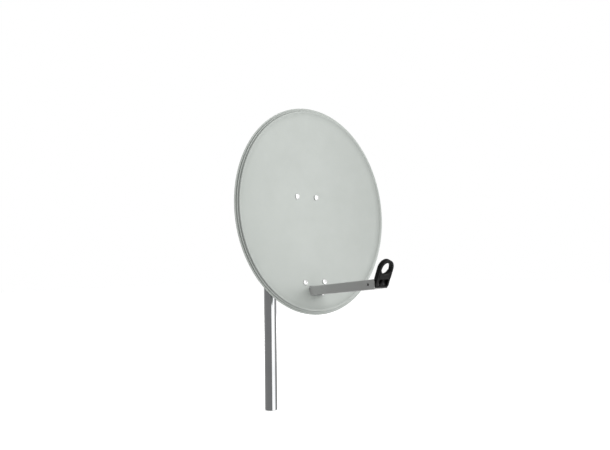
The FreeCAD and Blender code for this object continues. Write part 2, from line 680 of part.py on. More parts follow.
def make_lock():
    bolts, washers, nuts = [], [], []
    outside = "cheek_inner + yoke_sheet + jaw_gap"
    for side, facing in ((-1, "-x"), (1, "+x")):
        place = ("pivot_y", "pivot_z - lock_distance", facing)
        bolts.append(placed(dome_bolt("eight", "lock_bolt", "lock_head", "lock_rise"),
                            spot(MAST, f"{side} * plate_inner", *place)))
        washers.append(placed(tube("lock_washer", "eight + 2 * running", "broad_washer"),
                              spot(MAST, f"{side} * ({outside})", *place)))
        nuts.append(placed(nut("eight + running"), spot(MAST, f"{side} * ({outside} + broad_washer)", *place)))
    node(group(*bolts), "elevation_lock_bolts")
    node(group(*washers), "elevation_lock_washers")
    node(group(*nuts), "elevation_lock_nuts")


# ---------------------------------------------------------------- mast clamp
TEETH = 7


def jaw_outline():
    """Toothed V that rests on the mast; the tips of the teeth lie just clear of the tube."""
    clear = number("mast_radius + jaw_gap")
    lean = math.radians(number("jaw_angle"))
    apex = -clear / math.cos(lean)
    pitch, depth, start = number("tooth_pitch"), number("tooth_depth"), number("tooth_start")
    flank = []
    for tooth in range(TEETH):
        for reach, sink in ((tooth * pitch + start, 0.0), ((tooth + 0.5) * pitch + start, depth)):
            x = reach * math.cos(lean) + sink * math.sin(lean)
            flank.append((round(x, 3), round(apex + reach * math.sin(lean) - sink * math.cos(lean), 3)))
    half, back = number("jaw_half"), -number("yoke_back")
    shoulder = (flank[-1][0], -number("jaw_shoulder"))
    right = [(half, back), (half, -number("jaw_edge")), shoulder] + flank[::-1]
    left = [(-x, y) for x, y in reversed(right)]
    return right + left


def make_jaws():
    places = (("upper_front_jaw", "upper_jaw", 0), ("lower_front_jaw", "lower_jaw", 0),
              ("upper_rear_jaw", "upper_jaw", 180), ("lower_rear_jaw", "lower_jaw", 180))
    for name, up, turn in places:
        jaw = body("Jaw")
        feature(jaw, "Pad", polygon(sketch_on(jaw, "XY_Plane"), jaw_outline()), "jaw_height", both=True)
        channel = rectangle(sketch_on(jaw, "YZ_Plane"), "yoke_sheet - yoke_back", "jaw_wall - jaw_height / 2",
                            0, "jaw_height / 2 - jaw_wall")
        feature(jaw, "Pocket", channel, "3 * jaw_half", both=True)
        bores = sketch_on(jaw, "XZ_Plane", "yoke_back")
        circle(bores, "-clamp_bolt", 0, "eight_hole")
        circle(bores, "clamp_bolt", 0, "eight_hole")
        feature(jaw, "Pocket", bores, "3 * yoke_sheet", both=True)
        node(jaw, name, Placement(Vector(0, 0, number(up)), Rotation(Vector(0, 0, 1), turn)))


def make_clamp_fasteners():
    front = "-yoke_back - yoke_sheet"
    bolts = [placed(hex_bolt("eight", f"clamp_reach - ({front})"), spot(MAST, across, front, up, "+y"))
             for up in ("lower_jaw", "upper_jaw") for across in ("-clamp_bolt", "clamp_bolt")]
    node(group(*bolts), "clamp_bolts")
    for level, up in (("upper", "upper_jaw"), ("lower", "lower_jaw")):
        washers, nuts = [], []
        for across in ("-clamp_bolt", "clamp_bolt"):
            washers.append(placed(tube("washer_radius", "eight_hole", "washer"),
                                  spot(MAST, across, "yoke_back", up, "+y")))
            nuts.append(placed(nut("eight + running"), spot(MAST, across, "yoke_back + washer", up, "+y")))
        node(group(*washers), f"{level}_clamp_washers")
        node(group(*nuts), f"{level}_clamp_nuts")


# ---------------------------------------------------------------- holder of the feed
def make_strap():
    """Upper half of the clamp ring, with two legs down to the seam."""
    strap = body("Strap")
    outer, inner, leg = (number(a) for a in ("ring_radius", "neck_radius", "leg_inner"))
    foot_z = -number("seam")

    def line(start, end):
        return Part.LineSegment(Vector(*start, 0), Vector(*end, 0))

    outline = curve(
        sketch_on(strap, "XZ_Plane"),
        line((outer, foot_z), (outer, 0)), arc((0, 0), outer, 0, 180), line((-outer, 0), (-outer, foot_z)),
        line((-outer, foot_z), (-leg, foot_z)), line((-leg, foot_z), (-leg, 0)), line((-leg, 0), (-inner, 0)),
        arc((0, 0), inner, 0, 180), line((inner, 0), (leg, 0)), line((leg, 0), (leg, foot_z)),
        line((leg, foot_z), (outer, foot_z)))
    feature(strap, "Pad", outline, "ring_depth", both=True)
    chamfer_bore(strap)
    slots = sketch_on(strap, "XZ_Plane", "-ring_depth / 2")
    slack = "(nut_slot_rise - square_rise) / 2"
    for side in (-1, 1):
        rectangle(slots, f"{side} * strap_screw - nut_slot / 2", f"-nut_level - {slack}",
                  f"{side} * strap_screw + nut_slot / 2", f"square_rise - nut_level + {slack}")
    feature(strap, "Pocket", slots, "slot_depth", back=True)
    bores = sketch_on(strap, "XY_Plane", "-seam")
    for side in (-1, 1):
        circle(bores, f"{side} * strap_screw", 0, "screw_hole")
    feature(strap, "Pocket", bores, "screw_bore", back=True)
    node(strap, "lnb_strap", RING)


def chamfer_bore(part):
    """Both rims of the 40 mm bore are bevelled."""
    rims = [f"Edge{n}" for n, edge in enumerate(part.Shape.Edges, start=1)
            if edge.Curve.TypeId == "Part::GeomCircle"
            and abs(edge.Curve.Radius - number("neck_radius")) < 1e-6]
    base = part.Tip
    made = part.newObject("PartDesign::Chamfer", "Chamfer")
    made.Base = (base, rims)
    bind(made, Size="ring_chamfer")
    doc.recompute()


def base_profile():
    """Side view of the base: leaning front, back square to the end of the arm."""
    def from_arm(y, z):
        point = (RING.inverse() * ARM).multVec(Vector(0, number(y), number(z)))
        return round(point.y, 3), round(point.z, 3)
    seam, rear = "-seam - seam_gap", "-arm_front - base_gap"
    return [("ring_depth / 2", seam), ("-ring_depth / 2", seam),
            from_arm("-arm_front - chin_front", "-base_chin"), from_arm(rear, "-base_chin"),
            from_arm(rear, "arm_height / 2 + base_lip")]


def make_holder_base():
    base = body("HolderBase")
    feature(base, "Pad", polygon(sketch_on(base, "YZ_Plane"), base_profile()), "2 * base_half", both=True)
    side, below = number("base_half") - 1, -number("pocket_low") - 7
    bottom = [f"Edge{n}" for n, edge in enumerate(base.Shape.Edges, start=1)
              if abs(edge.CenterOfMass.x) > side and edge.CenterOfMass.z < below]
    round_edges(base, bottom, "base_round")
    top, radius = -number("saddle_top"), number("neck_radius")
    side, seam = number("saddle_half"), -number("seam + seam_gap")
    reach = math.sqrt(radius ** 2 - top ** 2)
    lean = math.degrees(math.asin(-top / radius))

    def line(start, end):
        return Part.LineSegment(Vector(*start, 0), Vector(*end, 0))

    saddle = curve(
        sketch_on(base, "XZ_Plane"),
        line((-side, seam), (side, seam)), line((side, seam), (side, top)), line((side, top), (reach, top)),
        arc((0, 0), radius, 180 + lean, 360 - lean), line((-reach, top), (-side, top)),
        line((-side, top), (-side, seam)))
    feature(base, "Pad", saddle, "ring_depth", both=True)
    chamfer_bore(base)
    pockets = sketch_on(base, "XZ_Plane", "ring_depth / 2 + 1")
    for left, right in (("-pocket_side", "-rib_half"), ("rib_half", "pocket_side")):
        rectangle(pockets, left, "-pocket_low", right, "-pocket_high")
    feature(base, "Pocket", pockets, "pocket_depth + 1")
    base.Placement = RING
    wide = "arm_width - 2 * (arm_wall + tongue_fit)"
    tongue = cut(box(wide, "tongue_height", "tongue_reach"),
                 box(f"{wide} - 2 * tongue_wall", "tongue_height - 2 * tongue_wall", "tongue_reach",
                     low("-tongue_end")))
    tongue.Placement = spot(ARM, 0, "-arm_front - base_gap", 0, "+y")
    tools = []
    for side in (-1, 1):
        tools.append(cylinder("screw_hole", "well_bottom - seam",
                              spot(RING, f"{side} * strap_screw", 0, "well_width / 2 - well_bottom")))
        tools.append(box("well", "well_width", "well_width",
                         spot(RING, f"{side} * (saddle_half + well / 2)", 0, "-well_bottom")))
    across = ("holder_hole_back - arm_front", 0, "+x")
    tools.append(drilled("cross_hole", spot(ARM, 0, *across[:2]), "+x"))
    tools.append(placed(cylinder("cross_counterbore", "2 * cross_rise"),
                        spot(ARM, "-cross_start - cross_rise + running", *across)))
    tools.append(placed(hexagon("cross_flats + tongue_fit", "cross_flats"),
                        spot(ARM, "cross_nut_start - 2 * running", *across)))
    node(cut(fuse(base, tongue), *tools), "lnb_holder_base")


def make_holder_fasteners():
    across = ("holder_hole_back - arm_front", 0, "+x")
    bolt = fuse(cylinder("cross_head", "cross_rise"), cylinder("five", "cross_length"))
    socket = hexagon("cross_socket", "socket_depth", low("running"))
    node(placed(cut(bolt, socket), spot(ARM, "-cross_start", *across)), "holder_cross_bolt")
    node(placed(nut("five + running", "cross_flats", "cross_nut"), spot(ARM, "cross_nut_start", *across)),
         "holder_cross_nut")
    screws, nuts = [], []
    for side in (-1, 1):
        screw = fuse(cylinder("screw_head", "screw_rise", low("screw_rise")), cylinder("four", "screw_length"))
        screws.append(placed(screw, spot(RING, f"{side} * strap_screw", 0, "-screw_start")))
        block = cut(box("square_nut", "square_nut", "square_rise"),
                    cylinder("four + running", "2 * square_rise", low(1)))
        nuts.append(placed(block, spot(RING, f"{side} * strap_screw", 0, "-nut_level")))
    node(group(*screws), "strap_screws")
    node(group(*nuts), "strap_nuts")


def main():
    make_mast()
    make_reflector()
    make_side_plate(-1, "left_side_plate")
    make_side_plate(1, "right_side_plate")
    make_bridge()
    make_reflector_fasteners()
    make_arm()
    make_yoke()
    make_pivot()
    make_lock()
    make_jaws()
    make_clamp_fasteners()
    make_strap()
    make_holder_base()
    make_holder_fasteners()
    doc.recompute()
    for item in doc.Objects:
        if {"Invalid", "Error"} & set(item.State):
            raise RuntimeError(f"{item.Label} failed: {item.State}")
    os.makedirs("parts", exist_ok=True)
    for item in nodes:
        if item.Shape.isNull() or not item.Shape.isValid() or item.Shape.Volume <= 0:
            raise RuntimeError(f"{item.Label} has no valid shape")
        item.Shape.exportStep(f"parts/{item.Label}.step")
        print(item.Label, len(item.Shape.Solids), round(item.Shape.Volume))


main()
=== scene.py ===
"""Looks of the satellite dish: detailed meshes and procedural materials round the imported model."""
import math

import bmesh
import bpy
import numpy as np
from mathutils import Matrix, Vector


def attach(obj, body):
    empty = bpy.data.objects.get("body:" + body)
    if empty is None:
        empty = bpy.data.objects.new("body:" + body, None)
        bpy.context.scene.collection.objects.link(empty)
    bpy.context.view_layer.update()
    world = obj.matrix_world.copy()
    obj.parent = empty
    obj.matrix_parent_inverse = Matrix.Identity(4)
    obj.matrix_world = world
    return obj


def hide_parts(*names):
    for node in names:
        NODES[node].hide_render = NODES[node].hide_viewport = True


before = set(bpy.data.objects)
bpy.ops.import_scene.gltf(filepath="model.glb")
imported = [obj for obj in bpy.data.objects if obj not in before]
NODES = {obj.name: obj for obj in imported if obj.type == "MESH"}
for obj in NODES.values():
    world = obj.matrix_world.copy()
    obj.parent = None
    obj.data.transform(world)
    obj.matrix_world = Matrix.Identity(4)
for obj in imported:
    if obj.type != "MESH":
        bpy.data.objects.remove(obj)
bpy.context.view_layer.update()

MM = 0.001

# ---------------------------------------------------------------- places, in millimetres and degrees
DISH_Y, DISH_Z, DISH_TILT = -313.4, 793.0, 3.24
CREST_ACROSS, CREST_UP = 340.2, 374.9
FOCAL, OFFSET_ANGLE, APERTURE = 447.0, math.radians(24.6), 348.0
SHEET = 1.2
LIP_START, LIP_END, LIP_DEPTH, LIP_LAST = 30.0, 5.9, 2.1, 6.6
SLOT_HALF, SLOT_LEVELS, SLOT_CORNER = 33.2, (-18.6, 17.6), 5.0
BOLT_ACROSS, BOLT_UPS = 46.2, (-253.8, 83.1)
ARM_UP, ARM_RISE, ARM_FRONT, ARM_HEIGHT = -298.7, 2.29, 310.0, 32.5
RING_UP, RING_FRONT, RING_TILT = -236.4, 334.5, 26.4
PIVOT_Y, PIVOT_Z, LOCK = -120.0, 700.0, 68.0
PLATE_OUT, PLATE, CHEEK_OUT, CHEEK_GAP = 33.1, 2.5, 36.4, 0.3
JAW_LEVELS, CLAMP_ACROSS, JAW_BACK, JAW_WALL = (658.0, 742.0), 44.0, 36.0, 3.0
MAST_RADIUS, MAST_HEIGHT, MAST_WALL = 25.4, 785.0, 2.0
# fasteners: M8 with 1.6 mm washers, broad 2 mm washers, the M10 pivot and the domes on the reflector
M8, M8_FLATS, M8_HEAD, M8_NUT, M8_WASHER, WASHER = 4.0, 13.0, 5.3, 6.5, 8.0, 1.6
M10, M10_FLATS, M10_HEAD, M10_NUT, M10_WASHER, BROAD = 5.0, 17.0, 6.4, 8.4, 10.0, 2.0
RUNNING, ARM_BOLTS_BACK, RIVETS_BACK = 0.05, (58.0, 88.0), (88.0, 112.0)
SIDES = ((-1, "-x"), (1, "+x"))
DOME, DOME_RISE, DOME_BRIM, DOME_RAISED, FOOT_GAP = 10.0, 4.6, 2.0, 0.62, 0.65
# holder of the feed: neck, its inlet's bevel, outside, half depth, leg and seam, then halves and cuts
NECK, INLET, RING_OUT, RING_HALF, LEG, SEAM = 20.1, 2.5, 31.0, 8.0, 22.8, -33.0
SADDLE_HALF, BASE_HALF, SCREW_ACROSS, CROSS_BACK = 22.5, 30.0, 27.0, 31.0
POCKET_HALF, POCKET_DEPTH, POCKET_LEVELS = 22.6, 10.8, (-61.0, -37.0)
WELL_HALF, WELL_DEPTH, WELL_LEVELS, WELL_ACROSS = 6.0, 4.5, (-50.0, -41.0), 29.5
TONGUE_HALF, TONGUE_RISE, TONGUE_LONG, HOLDER_REAR = 28.1, 14.5, 46, -310.3


def about_x(degrees):
    return Matrix.Rotation(math.radians(degrees), 4, "X")


def move(x, y, z):
    return Matrix.Translation((x, y, z))


TURN = {
    "+x": Matrix.Rotation(math.radians(90), 4, "Y"), "-x": Matrix.Rotation(math.radians(-90), 4, "Y"),
    "+y": about_x(-90), "-y": about_x(90), "+z": Matrix.Identity(4), "-z": about_x(180),
}
MAST = Matrix.Identity(4)
DISH = move(0, DISH_Y, DISH_Z) @ about_x(-DISH_TILT)
ARM = DISH @ move(0, 0, ARM_UP) @ about_x(-ARM_RISE)
RING = DISH @ move(0, -RING_FRONT, RING_UP) @ about_x(RING_TILT)


def spot(base, x, y, z, facing="+z"):
    return base @ move(x, y, z) @ TURN[facing]


# ---------------------------------------------------------------- materials
def ramped(tree, value, stops):
    """A colour ramp over a value; each stop is a place from 0 to 1 with a grey level or a colour."""
    node = tree.nodes.new("ShaderNodeValToRGB")
    ramp = node.color_ramp
    for _ in stops[2:]:
        ramp.elements.new(0.5)
    for element, (place, colour) in zip(ramp.elements, stops):
        element.position = place
        element.color = (*colour, 1.0) if hasattr(colour, "__len__") else (colour, colour, colour, 1.0)
    tree.links.new(value, node.inputs[0])
    return node.outputs["Color"]


def blended(tree, share, one, two, how="MIX"):
    """Two colours mixed; the share and the colours are values or sockets."""
    node = tree.nodes.new("ShaderNodeMix")
    node.data_type = "RGBA"
    node.blend_type = how
    for socket, value in ((node.inputs[0], share), (node.inputs[6], one), (node.inputs[7], two)):
        if hasattr(value, "is_linked"):
            tree.links.new(value, socket)
        else:
            socket.default_value = value if not hasattr(value, "__len__") else (*value, 1.0)
    return node.outputs[2]


class Shade:
    """A small procedural material: textures on the object's own coordinates into one Principled shader."""

    def __init__(self, name, metallic=0.0, specular=0.5):
        self.material = bpy.data.materials.new(name)
        self.material.use_nodes = True
        self.tree = self.material.node_tree
        self.tree.nodes.clear()
        self.shader = self.tree.nodes.new("ShaderNodeBsdfPrincipled")
        output = self.tree.nodes.new("ShaderNodeOutputMaterial")
        self.tree.links.new(self.shader.outputs[0], output.inputs[0])
        self.shader.inputs["Metallic"].default_value = metallic
        self.shader.inputs["Specular IOR Level"].default_value = specular
        self.coordinates = self.tree.nodes.new("ShaderNodeTexCoord").outputs["Object"]

    def stretched(self, scale):
        mapping = self.tree.nodes.new("ShaderNodeMapping")
        mapping.inputs["Scale"].default_value = scale
        self.tree.links.new(self.coordinates, mapping.inputs["Vector"])
        return mapping.outputs["Vector"]

    def noise(self, scale, detail=3.0, rough=0.5, vector=None):
        node = self.tree.nodes.new("ShaderNodeTexNoise")
        node.inputs["Scale"].default_value = scale
        node.inputs["Detail"].default_value = detail
        node.inputs["Roughness"].default_value = rough
        self.tree.links.new(vector or self.coordinates, node.inputs["Vector"])
        return node.outputs["Fac"]

    def cells(self, scale, vector=None):
        node = self.tree.nodes.new("ShaderNodeTexVoronoi")
        node.inputs["Scale"].default_value = scale
        self.tree.links.new(vector or self.coordinates, node.inputs["Vector"])
        apart = self.tree.nodes.new("ShaderNodeSeparateColor")
        self.tree.links.new(node.outputs["Color"], apart.inputs[0])
        return apart.outputs[0]

    def ramp(self, value, *stops):
        return ramped(self.tree, value, stops)

    def blend(self, share, one, two):
        return blended(self.tree, share, one, two)

    def use(self, colour=None, roughness=None):
        for name, value in (("Base Color", colour), ("Roughness", roughness)):
            if value is not None:
                self.tree.links.new(value, self.shader.inputs[name])
        return self

    def bump(self, *layers):
        """Layers of (height, strength, distance in metres), the finest last."""
        normal = None
        for height, strength, distance in layers:
            node = self.tree.nodes.new("ShaderNodeBump")
            node.inputs["Strength"].default_value = strength
            node.inputs["Distance"].default_value = distance
            self.tree.links.new(height, node.inputs["Height"])
            if normal:
                self.tree.links.new(normal, node.inputs["Normal"])
            normal = node.outputs["Normal"]
        self.tree.links.new(normal, self.shader.inputs["Normal"])
        return self.material


def powder_coat(name, low, high, rough=(0.36, 0.46)):
    """Sprayed and baked coat: faint clouds, orange peel and a fine grain."""
    look = Shade(name, specular=0.45)
    clouds = look.noise(7, 4, 0.55)
    grain = look.noise(900, 2)
    colour = look.blend(look.ramp(grain, (0.35, 0.0), (0.65, 0.12)),
                        look.ramp(clouds, (0.3, low), (0.7, high)), tuple(c * 0.86 for c in low))
    look.use(colour, look.ramp(look.noise(40, 4), (0.3, rough[0]), (0.7, rough[1])))
    return look.bump((look.noise(260, 3, 0.6), 0.12, 0.0002), (grain, 0.10, 0.0001))


def galvanised(name, low=(0.36, 0.375, 0.39), high=(0.60, 0.61, 0.62)):
    """Hot-dip zinc: crystals of differing brightness with cloudy weathering."""
    look = Shade(name, metallic=1.0)
    warp = look.noise(55, 3)
    spangle = look.cells(95)
    fine = look.cells(260)
    whole = (0.0, 0.0), (1.0, 1.0)
    mixed = look.blend(0.35, look.ramp(spangle, *whole), look.ramp(fine, *whole))
    mixed = look.blend(0.4, mixed, look.ramp(warp, (0.3, 0.0), (0.7, 1.0)))
    look.use(look.ramp(mixed, (0.15, low), (0.85, high)), look.ramp(mixed, (0.1, 0.50), (0.9, 0.30)))
    return look.bump((warp, 0.10, 0.0003), (look.noise(700, 3), 0.12, 0.0001))


def zinc(name, low, high, rough=(0.16, 0.30), metallic=1.0):
    """Bright plating with faint clouds and fine tool marks."""
    look = Shade(name, metallic=metallic)
    clouds = look.noise(90, 4)
    marks = look.noise(1400, 2)
    haze = look.noise(220, 4)
    look.use(look.ramp(clouds, (0.3, low), (0.7, high)), look.ramp(haze, (0.3, rough[0]), (0.75, rough[1])))
    return look.bump((clouds, 0.05, 0.0002), (marks, 0.06, 0.00005))


def drawn_tube(name):
    """Bright tube: long faint drawing lines along it and light handling haze."""
    look = Shade(name, metallic=1.0)
    lines = look.noise(1.0, 4, 0.6, look.stretched((900, 900, 3)))
    haze = look.noise(9, 5, 0.6)
    colour = look.blend(look.ramp(lines, (0.35, 0.0), (0.75, 0.25)),
                        look.ramp(haze, (0.3, (0.60, 0.61, 0.62)), (0.7, (0.68, 0.69, 0.70))),
                        (0.50, 0.505, 0.51))
    look.use(colour, look.ramp(haze, (0.25, 0.07), (0.8, 0.16)))
    return look.bump((lines, 0.03, 0.00005), (look.noise(500, 2), 0.02, 0.00005))


def moulded(name, low, high, rough=(0.38, 0.55), specular=0.45):
    """Glass-filled black plastic with a fine spark grain and slightly burnished high spots."""
    look = Shade(name, specular=specular)
    grain = look.noise(1700, 3, 0.6)
    flow = look.noise(60, 5, 0.6, look.stretched((1, 1, 3)))
    look.use(look.ramp(flow, (0.3, low), (0.75, high)), look.ramp(grain, (0.3, rough[0]), (0.7, rough[1])))
    return look.bump((flow, 0.05, 0.0003), (grain, 0.22, 0.00008))


COAT = powder_coat("reflector_coat", (0.408, 0.435, 0.410), (0.432, 0.459, 0.435))
ARM_COAT = powder_coat("arm_coat", (0.565, 0.571, 0.562), (0.605, 0.611, 0.602), (0.36, 0.46))
GALVANISED = galvanised("galvanised_sheet")
ZINC = zinc("zinc_plate", (0.60, 0.60, 0.58), (0.72, 0.72, 0.69))
CHROME = zinc("bolt_chrome", (0.80, 0.80, 0.80), (0.87, 0.87, 0.87), (0.22, 0.32), 0.5)
TUBE = drawn_tube("mast_tube_metal")
HOLDER = moulded("holder_plastic", (0.004, 0.0038, 0.004), (0.010, 0.0095, 0.010), (0.32, 0.48), 0.22)
CAP = moulded("cap_plastic", (0.014, 0.014, 0.014), (0.030, 0.030, 0.030))
OXIDE = zinc("black_oxide", (0.004, 0.004, 0.005), (0.010, 0.010, 0.011), (0.40, 0.55))
RIVET = zinc("rivet_aluminium", (0.66, 0.66, 0.67), (0.76, 0.76, 0.77), (0.28, 0.42))
INK = powder_coat("scale_ink", (0.020, 0.020, 0.022), (0.035, 0.035, 0.037), (0.45, 0.6))


# ---------------------------------------------------------------- meshes
def add_mesh(name, verts, faces):
    """An object in the scene, from coordinates in metres."""
    mesh = bpy.data.meshes.new(name)
    mesh.from_pydata(verts, [], faces)
    mesh.update()
    piece = bpy.data.objects.new(name, mesh)
    bpy.context.scene.collection.objects.link(piece)
    return piece


def lay(name, verts, faces, body, material, slot=None, replaces=(), smooth=40):
    """A mesh object from millimetre coordinates, riding on its body."""
    piece = add_mesh(name, [Vector(v) * MM for v in verts], faces)
    piece.data.validate()
    finish_piece(piece, body, material, replaces, smooth)
    return piece


def finish_piece(piece, body, material, replaces=(), smooth=40):
    piece.data.materials.clear()
    piece.data.materials.append(material)
    outward(piece.data)
    piece.data.shade_smooth()
    piece.data.set_sharp_from_angle(angle=math.radians(smooth))
    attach(piece, body)
    if replaces:
        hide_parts(*replaces)


def outward(mesh):
    bm = bmesh.new()
    bm.from_mesh(mesh)
    bmesh.ops.recalc_face_normals(bm, faces=bm.faces)
    bm.to_mesh(mesh)
    bm.free()


def bake(piece):
    """Apply every modifier of a piece."""
    made = bpy.data.meshes.new_from_object(piece.evaluated_get(bpy.context.evaluated_depsgraph_get()))
    piece.modifiers.clear()
    piece.data = made


class Heap:
    """Gathers solids in millimetres, each put in its own place, into one piece."""

    def __init__(self):
        self.verts, self.faces = [], []

    def add(self, solid, place=MAST):
        verts, faces = solid
        start = len(self.verts)
        self.verts += [place @ Vector(v) for v in verts]
        self.faces += [[start + i for i in face] for face in faces]
        return self

    def lay(self, name, *rest):
        """Lay everything gathered as one piece."""
        return lay(name, self.verts, self.faces, *rest)


def lathe(profile, sides=48):
    """Turn (radius, height) points about z; points at radius 0 close the ends."""
    verts, rings, faces = [], [], []
    for radius, height in profile:
        if radius < 1e-9:
            rings.append([len(verts)])
            verts.append((0.0, 0.0, height))
            continue
        rings.append(list(range(len(verts), len(verts) + sides)))
        turns = [2 * math.pi * k / sides for k in range(sides)]
        verts += [(radius * math.cos(turn), radius * math.sin(turn), height) for turn in turns]
    for low, high in zip(rings, rings[1:]):
        for k in range(sides):
            nxt = (k + 1) % sides
            if len(low) == 1 and len(high) > 1:
                faces.append([low[0], high[nxt], high[k]])
            elif len(high) == 1 and len(low) > 1:
                faces.append([low[k], low[nxt], high[0]])
            elif len(low) > 1:
                faces.append([low[k], low[nxt], high[nxt], high[k]])
    return verts, faces


def closed_lathe(profile, sides=48):
    """A ring: the profile's last point joins its first."""
    return lathe(list(profile) + [profile[0]], sides)


def thread(radius, start, end, pitch=1.25):
    """Profile of a threaded shank with a pointed end."""
    points = []
    height = start
    root = radius - 0.5 * pitch
    while height < end - pitch:
        points += [(radius, height), (radius, height + 0.15 * pitch), (root, height + 0.5 * pitch),
                   (root, height + 0.65 * pitch)]
        height += pitch
    return points + [(radius, end - 1.0), (radius - 0.9, end), (0, end)]


def hexagon(flats, height, bore=0.0):
    """A nut or a bolt's head from z = 0 to its height, with turned chamfers."""
    count = 6 * 16
    flat = flats / 2
    rings = []

    def reach(angle):
        turned = (angle + math.pi / 6) % (math.pi / 3) - math.pi / 6
        return flat / math.cos(turned)

    def ring(level):
        points = []
        for k in range(count):
            angle = 2 * math.pi * k / count
            far = reach(angle)
            radius, z = level(far)
            points.append((radius * math.cos(angle), radius * math.sin(angle), z))
        rings.append(points)

    drop = math.tan(math.radians(30))
    edge = flat * 0.95
    if bore:
        ring(lambda far: (bore, 0.0))
    ring(lambda far: (edge, 0.0))
    ring(lambda far: (far, (far - edge) * drop * 0.6))
    ring(lambda far: (far, height - (far - edge) * drop))
    ring(lambda far: (edge, height))
    if bore:
        ring(lambda far: (bore + 0.6, height))
        ring(lambda far: (bore, height - 0.6))
    verts = [p for points in rings for p in points]
    total = len(rings)
    faces = [] if bore else [list(range(count))[::-1], list(range((total - 1) * count, total * count))]
    for r in range(total - (0 if bore else 1)):
        nxt = (r + 1) % total
        faces += [[r * count + k, r * count + (k + 1) % count, nxt * count + (k + 1) % count, nxt * count + k]
                  for k in range(count)]
    return verts, faces


def washer(outer, inner, thick):
    """A flat washer from z = 0, its edges softened."""
    bevel = 0.25
    return closed_lathe([(inner, 0), (outer - bevel, 0), (outer, bevel), (outer, thick - bevel),
                         (outer - bevel, thick), (inner + bevel, thick), (inner, thick - bevel)])


# ---------------------------------------------------------------- reflector
def dish_depth(across, up):
    """Distance of the front surface behind the rim's plane."""
    bend = math.sin(OFFSET_ANGLE) * math.cos(OFFSET_ANGLE) ** 2 / (4 * FOCAL)
    reach = up + math.sin(OFFSET_ANGLE) * (APERTURE ** 2 - across ** 2) / (4 * FOCAL)
    aperture_up = (-1 + np.sqrt(1 + 4 * bend * reach)) / (2 * bend)
    along = (APERTURE ** 2 - across ** 2 - (aperture_up * math.cos(OFFSET_ANGLE)) ** 2) / (4 * FOCAL)
    return along * math.cos(OFFSET_ANGLE)


def rim_profile():
    """Front surface of the rim, outward and back from the crest: valley, bead, step, flange and hem."""
    def bend(centre, radius, first, last, steps):
        turns = [math.radians(first + (last - first) * k / steps) for k in range(steps + 1)]
        return [(centre[0] + radius * math.cos(a), centre[1] - radius * math.sin(a)) for a in turns]
    return (
        bend((-LIP_END, LIP_DEPTH - 1.2), 1.2, 250, 290, 4) + bend((-0.5, 4.1), 4.1, 128, 12, 14)
        + [(3.75, 4.6), (3.8, 5.6)] + bend((4.7, 6.0), 0.8, 190, 270, 4)
        + bend((6.9, 8.4), 1.6, 90, 0, 6) + [(8.5, 10.4), (8.5, 11.2)] + bend((9.4, 11.5), 0.9, 190, 270, 4)
        + [(10.8, 12.4), (13.0, 12.5)] + bend((13.9, 13.5), 1.05, 90, -60, 8)
    )


def make_reflector():
    """Offset dish in rings from its middle, bent in to the lip, then the rim; made thick and slotted."""
    sides, rounds = 320, 46
    turn = np.linspace(0, 2 * np.pi, sides, endpoint=False)
    crest = np.stack([CREST_ACROSS * np.cos(turn), CREST_UP * np.sin(turn)], 1)
    normal = np.stack([CREST_UP * np.cos(turn), CREST_ACROSS * np.sin(turn)], 1)
    normal /= np.linalg.norm(normal, axis=1)[:, None]
    edge = crest - LIP_START * normal
    rings = []
    for k in range(1, rounds + 1):
        flat = edge * (k / rounds)
        rings.append(np.stack([flat[:, 0], dish_depth(flat[:, 0], flat[:, 1]), flat[:, 1]], 1))
    for inside in np.linspace(LIP_START, LIP_LAST, 14)[1:]:
        flat = crest - inside * normal
        share = (LIP_START - inside) / (LIP_START - LIP_END)
        depth = dish_depth(flat[:, 0], flat[:, 1])
        ending = dish_depth(*(crest - LIP_END * normal).T)
        depth = depth - (ending - LIP_DEPTH) * share ** 2.8
        rings.append(np.stack([flat[:, 0], depth, flat[:, 1]], 1))
    for out, back in rim_profile():
        flat = crest + out * normal
        rings.append(np.stack([flat[:, 0], np.full(sides, back), flat[:, 1]], 1))
    verts = [(0.0, float(dish_depth(0.0, 0.0)), 0.0)] + [tuple(p) for ring in rings for p in ring.tolist()]
    faces = [[0, 1 + (k + 1) % sides, 1 + k] for k in range(sides)]
    for r in range(len(rings) - 1):
        low, high = 1 + r * sides, 1 + (r + 1) * sides
        faces += [[low + k, low + (k + 1) % sides, high + (k + 1) % sides, high + k] for k in range(sides)]
    piece = add_mesh("reflector_skin", [DISH @ Vector(v) * MM for v in verts], faces)
    facing = DISH.to_3x3() @ Vector((0, -1, 0))
    if piece.data.polygons[0].normal.dot(facing) < 0:
        piece.data.flip_normals()
    sheet = piece.modifiers.new("sheet", "SOLIDIFY")
    sheet.thickness = SHEET * MM
    sheet.offset = -1.0
    sheet.use_even_offset = True
    slot = rounded_box("slot_tool", SLOT_HALF, 60, SLOT_LEVELS, SLOT_CORNER, ARM)
    hole = piece.modifiers.new("slot", "BOOLEAN")
    hole.object = slot
    hole.solver = "EXACT"
    bpy.context.view_layer.update()
    bake(piece)
    bpy.data.objects.remove(slot)
    finish_piece(piece, "dish", COAT, ("reflector",), 32)
    return piece


def rounded_box(name, half, reach, levels, corner, place):
    """A block along y with rounded long edges, for cutting: half width, reach either way and z levels."""
    low, high = levels
    outline = []
    for cx, cz, first in ((half - corner, high - corner, 0), (-half + corner, high - corner, 90),
                          (-half + corner, low + corner, 180), (half - corner, low + corner, 270)):
        outline += [(cx + corner * math.cos(math.radians(first + 15 * k)),
                     cz + corner * math.sin(math.radians(first + 15 * k))) for k in range(7)]
    count = len(outline)
    verts = [place @ Vector((x, y, z)) * MM for y in (-reach, reach) for x, z in outline]
    faces = [list(range(count)), list(range(2 * count - 1, count - 1, -1))]
    faces += [[k, (k + 1) % count, count + (k + 1) % count, count + k] for k in range(count)]
    tool = add_mesh(name, verts, faces)
    outward(tool.data)
    return tool


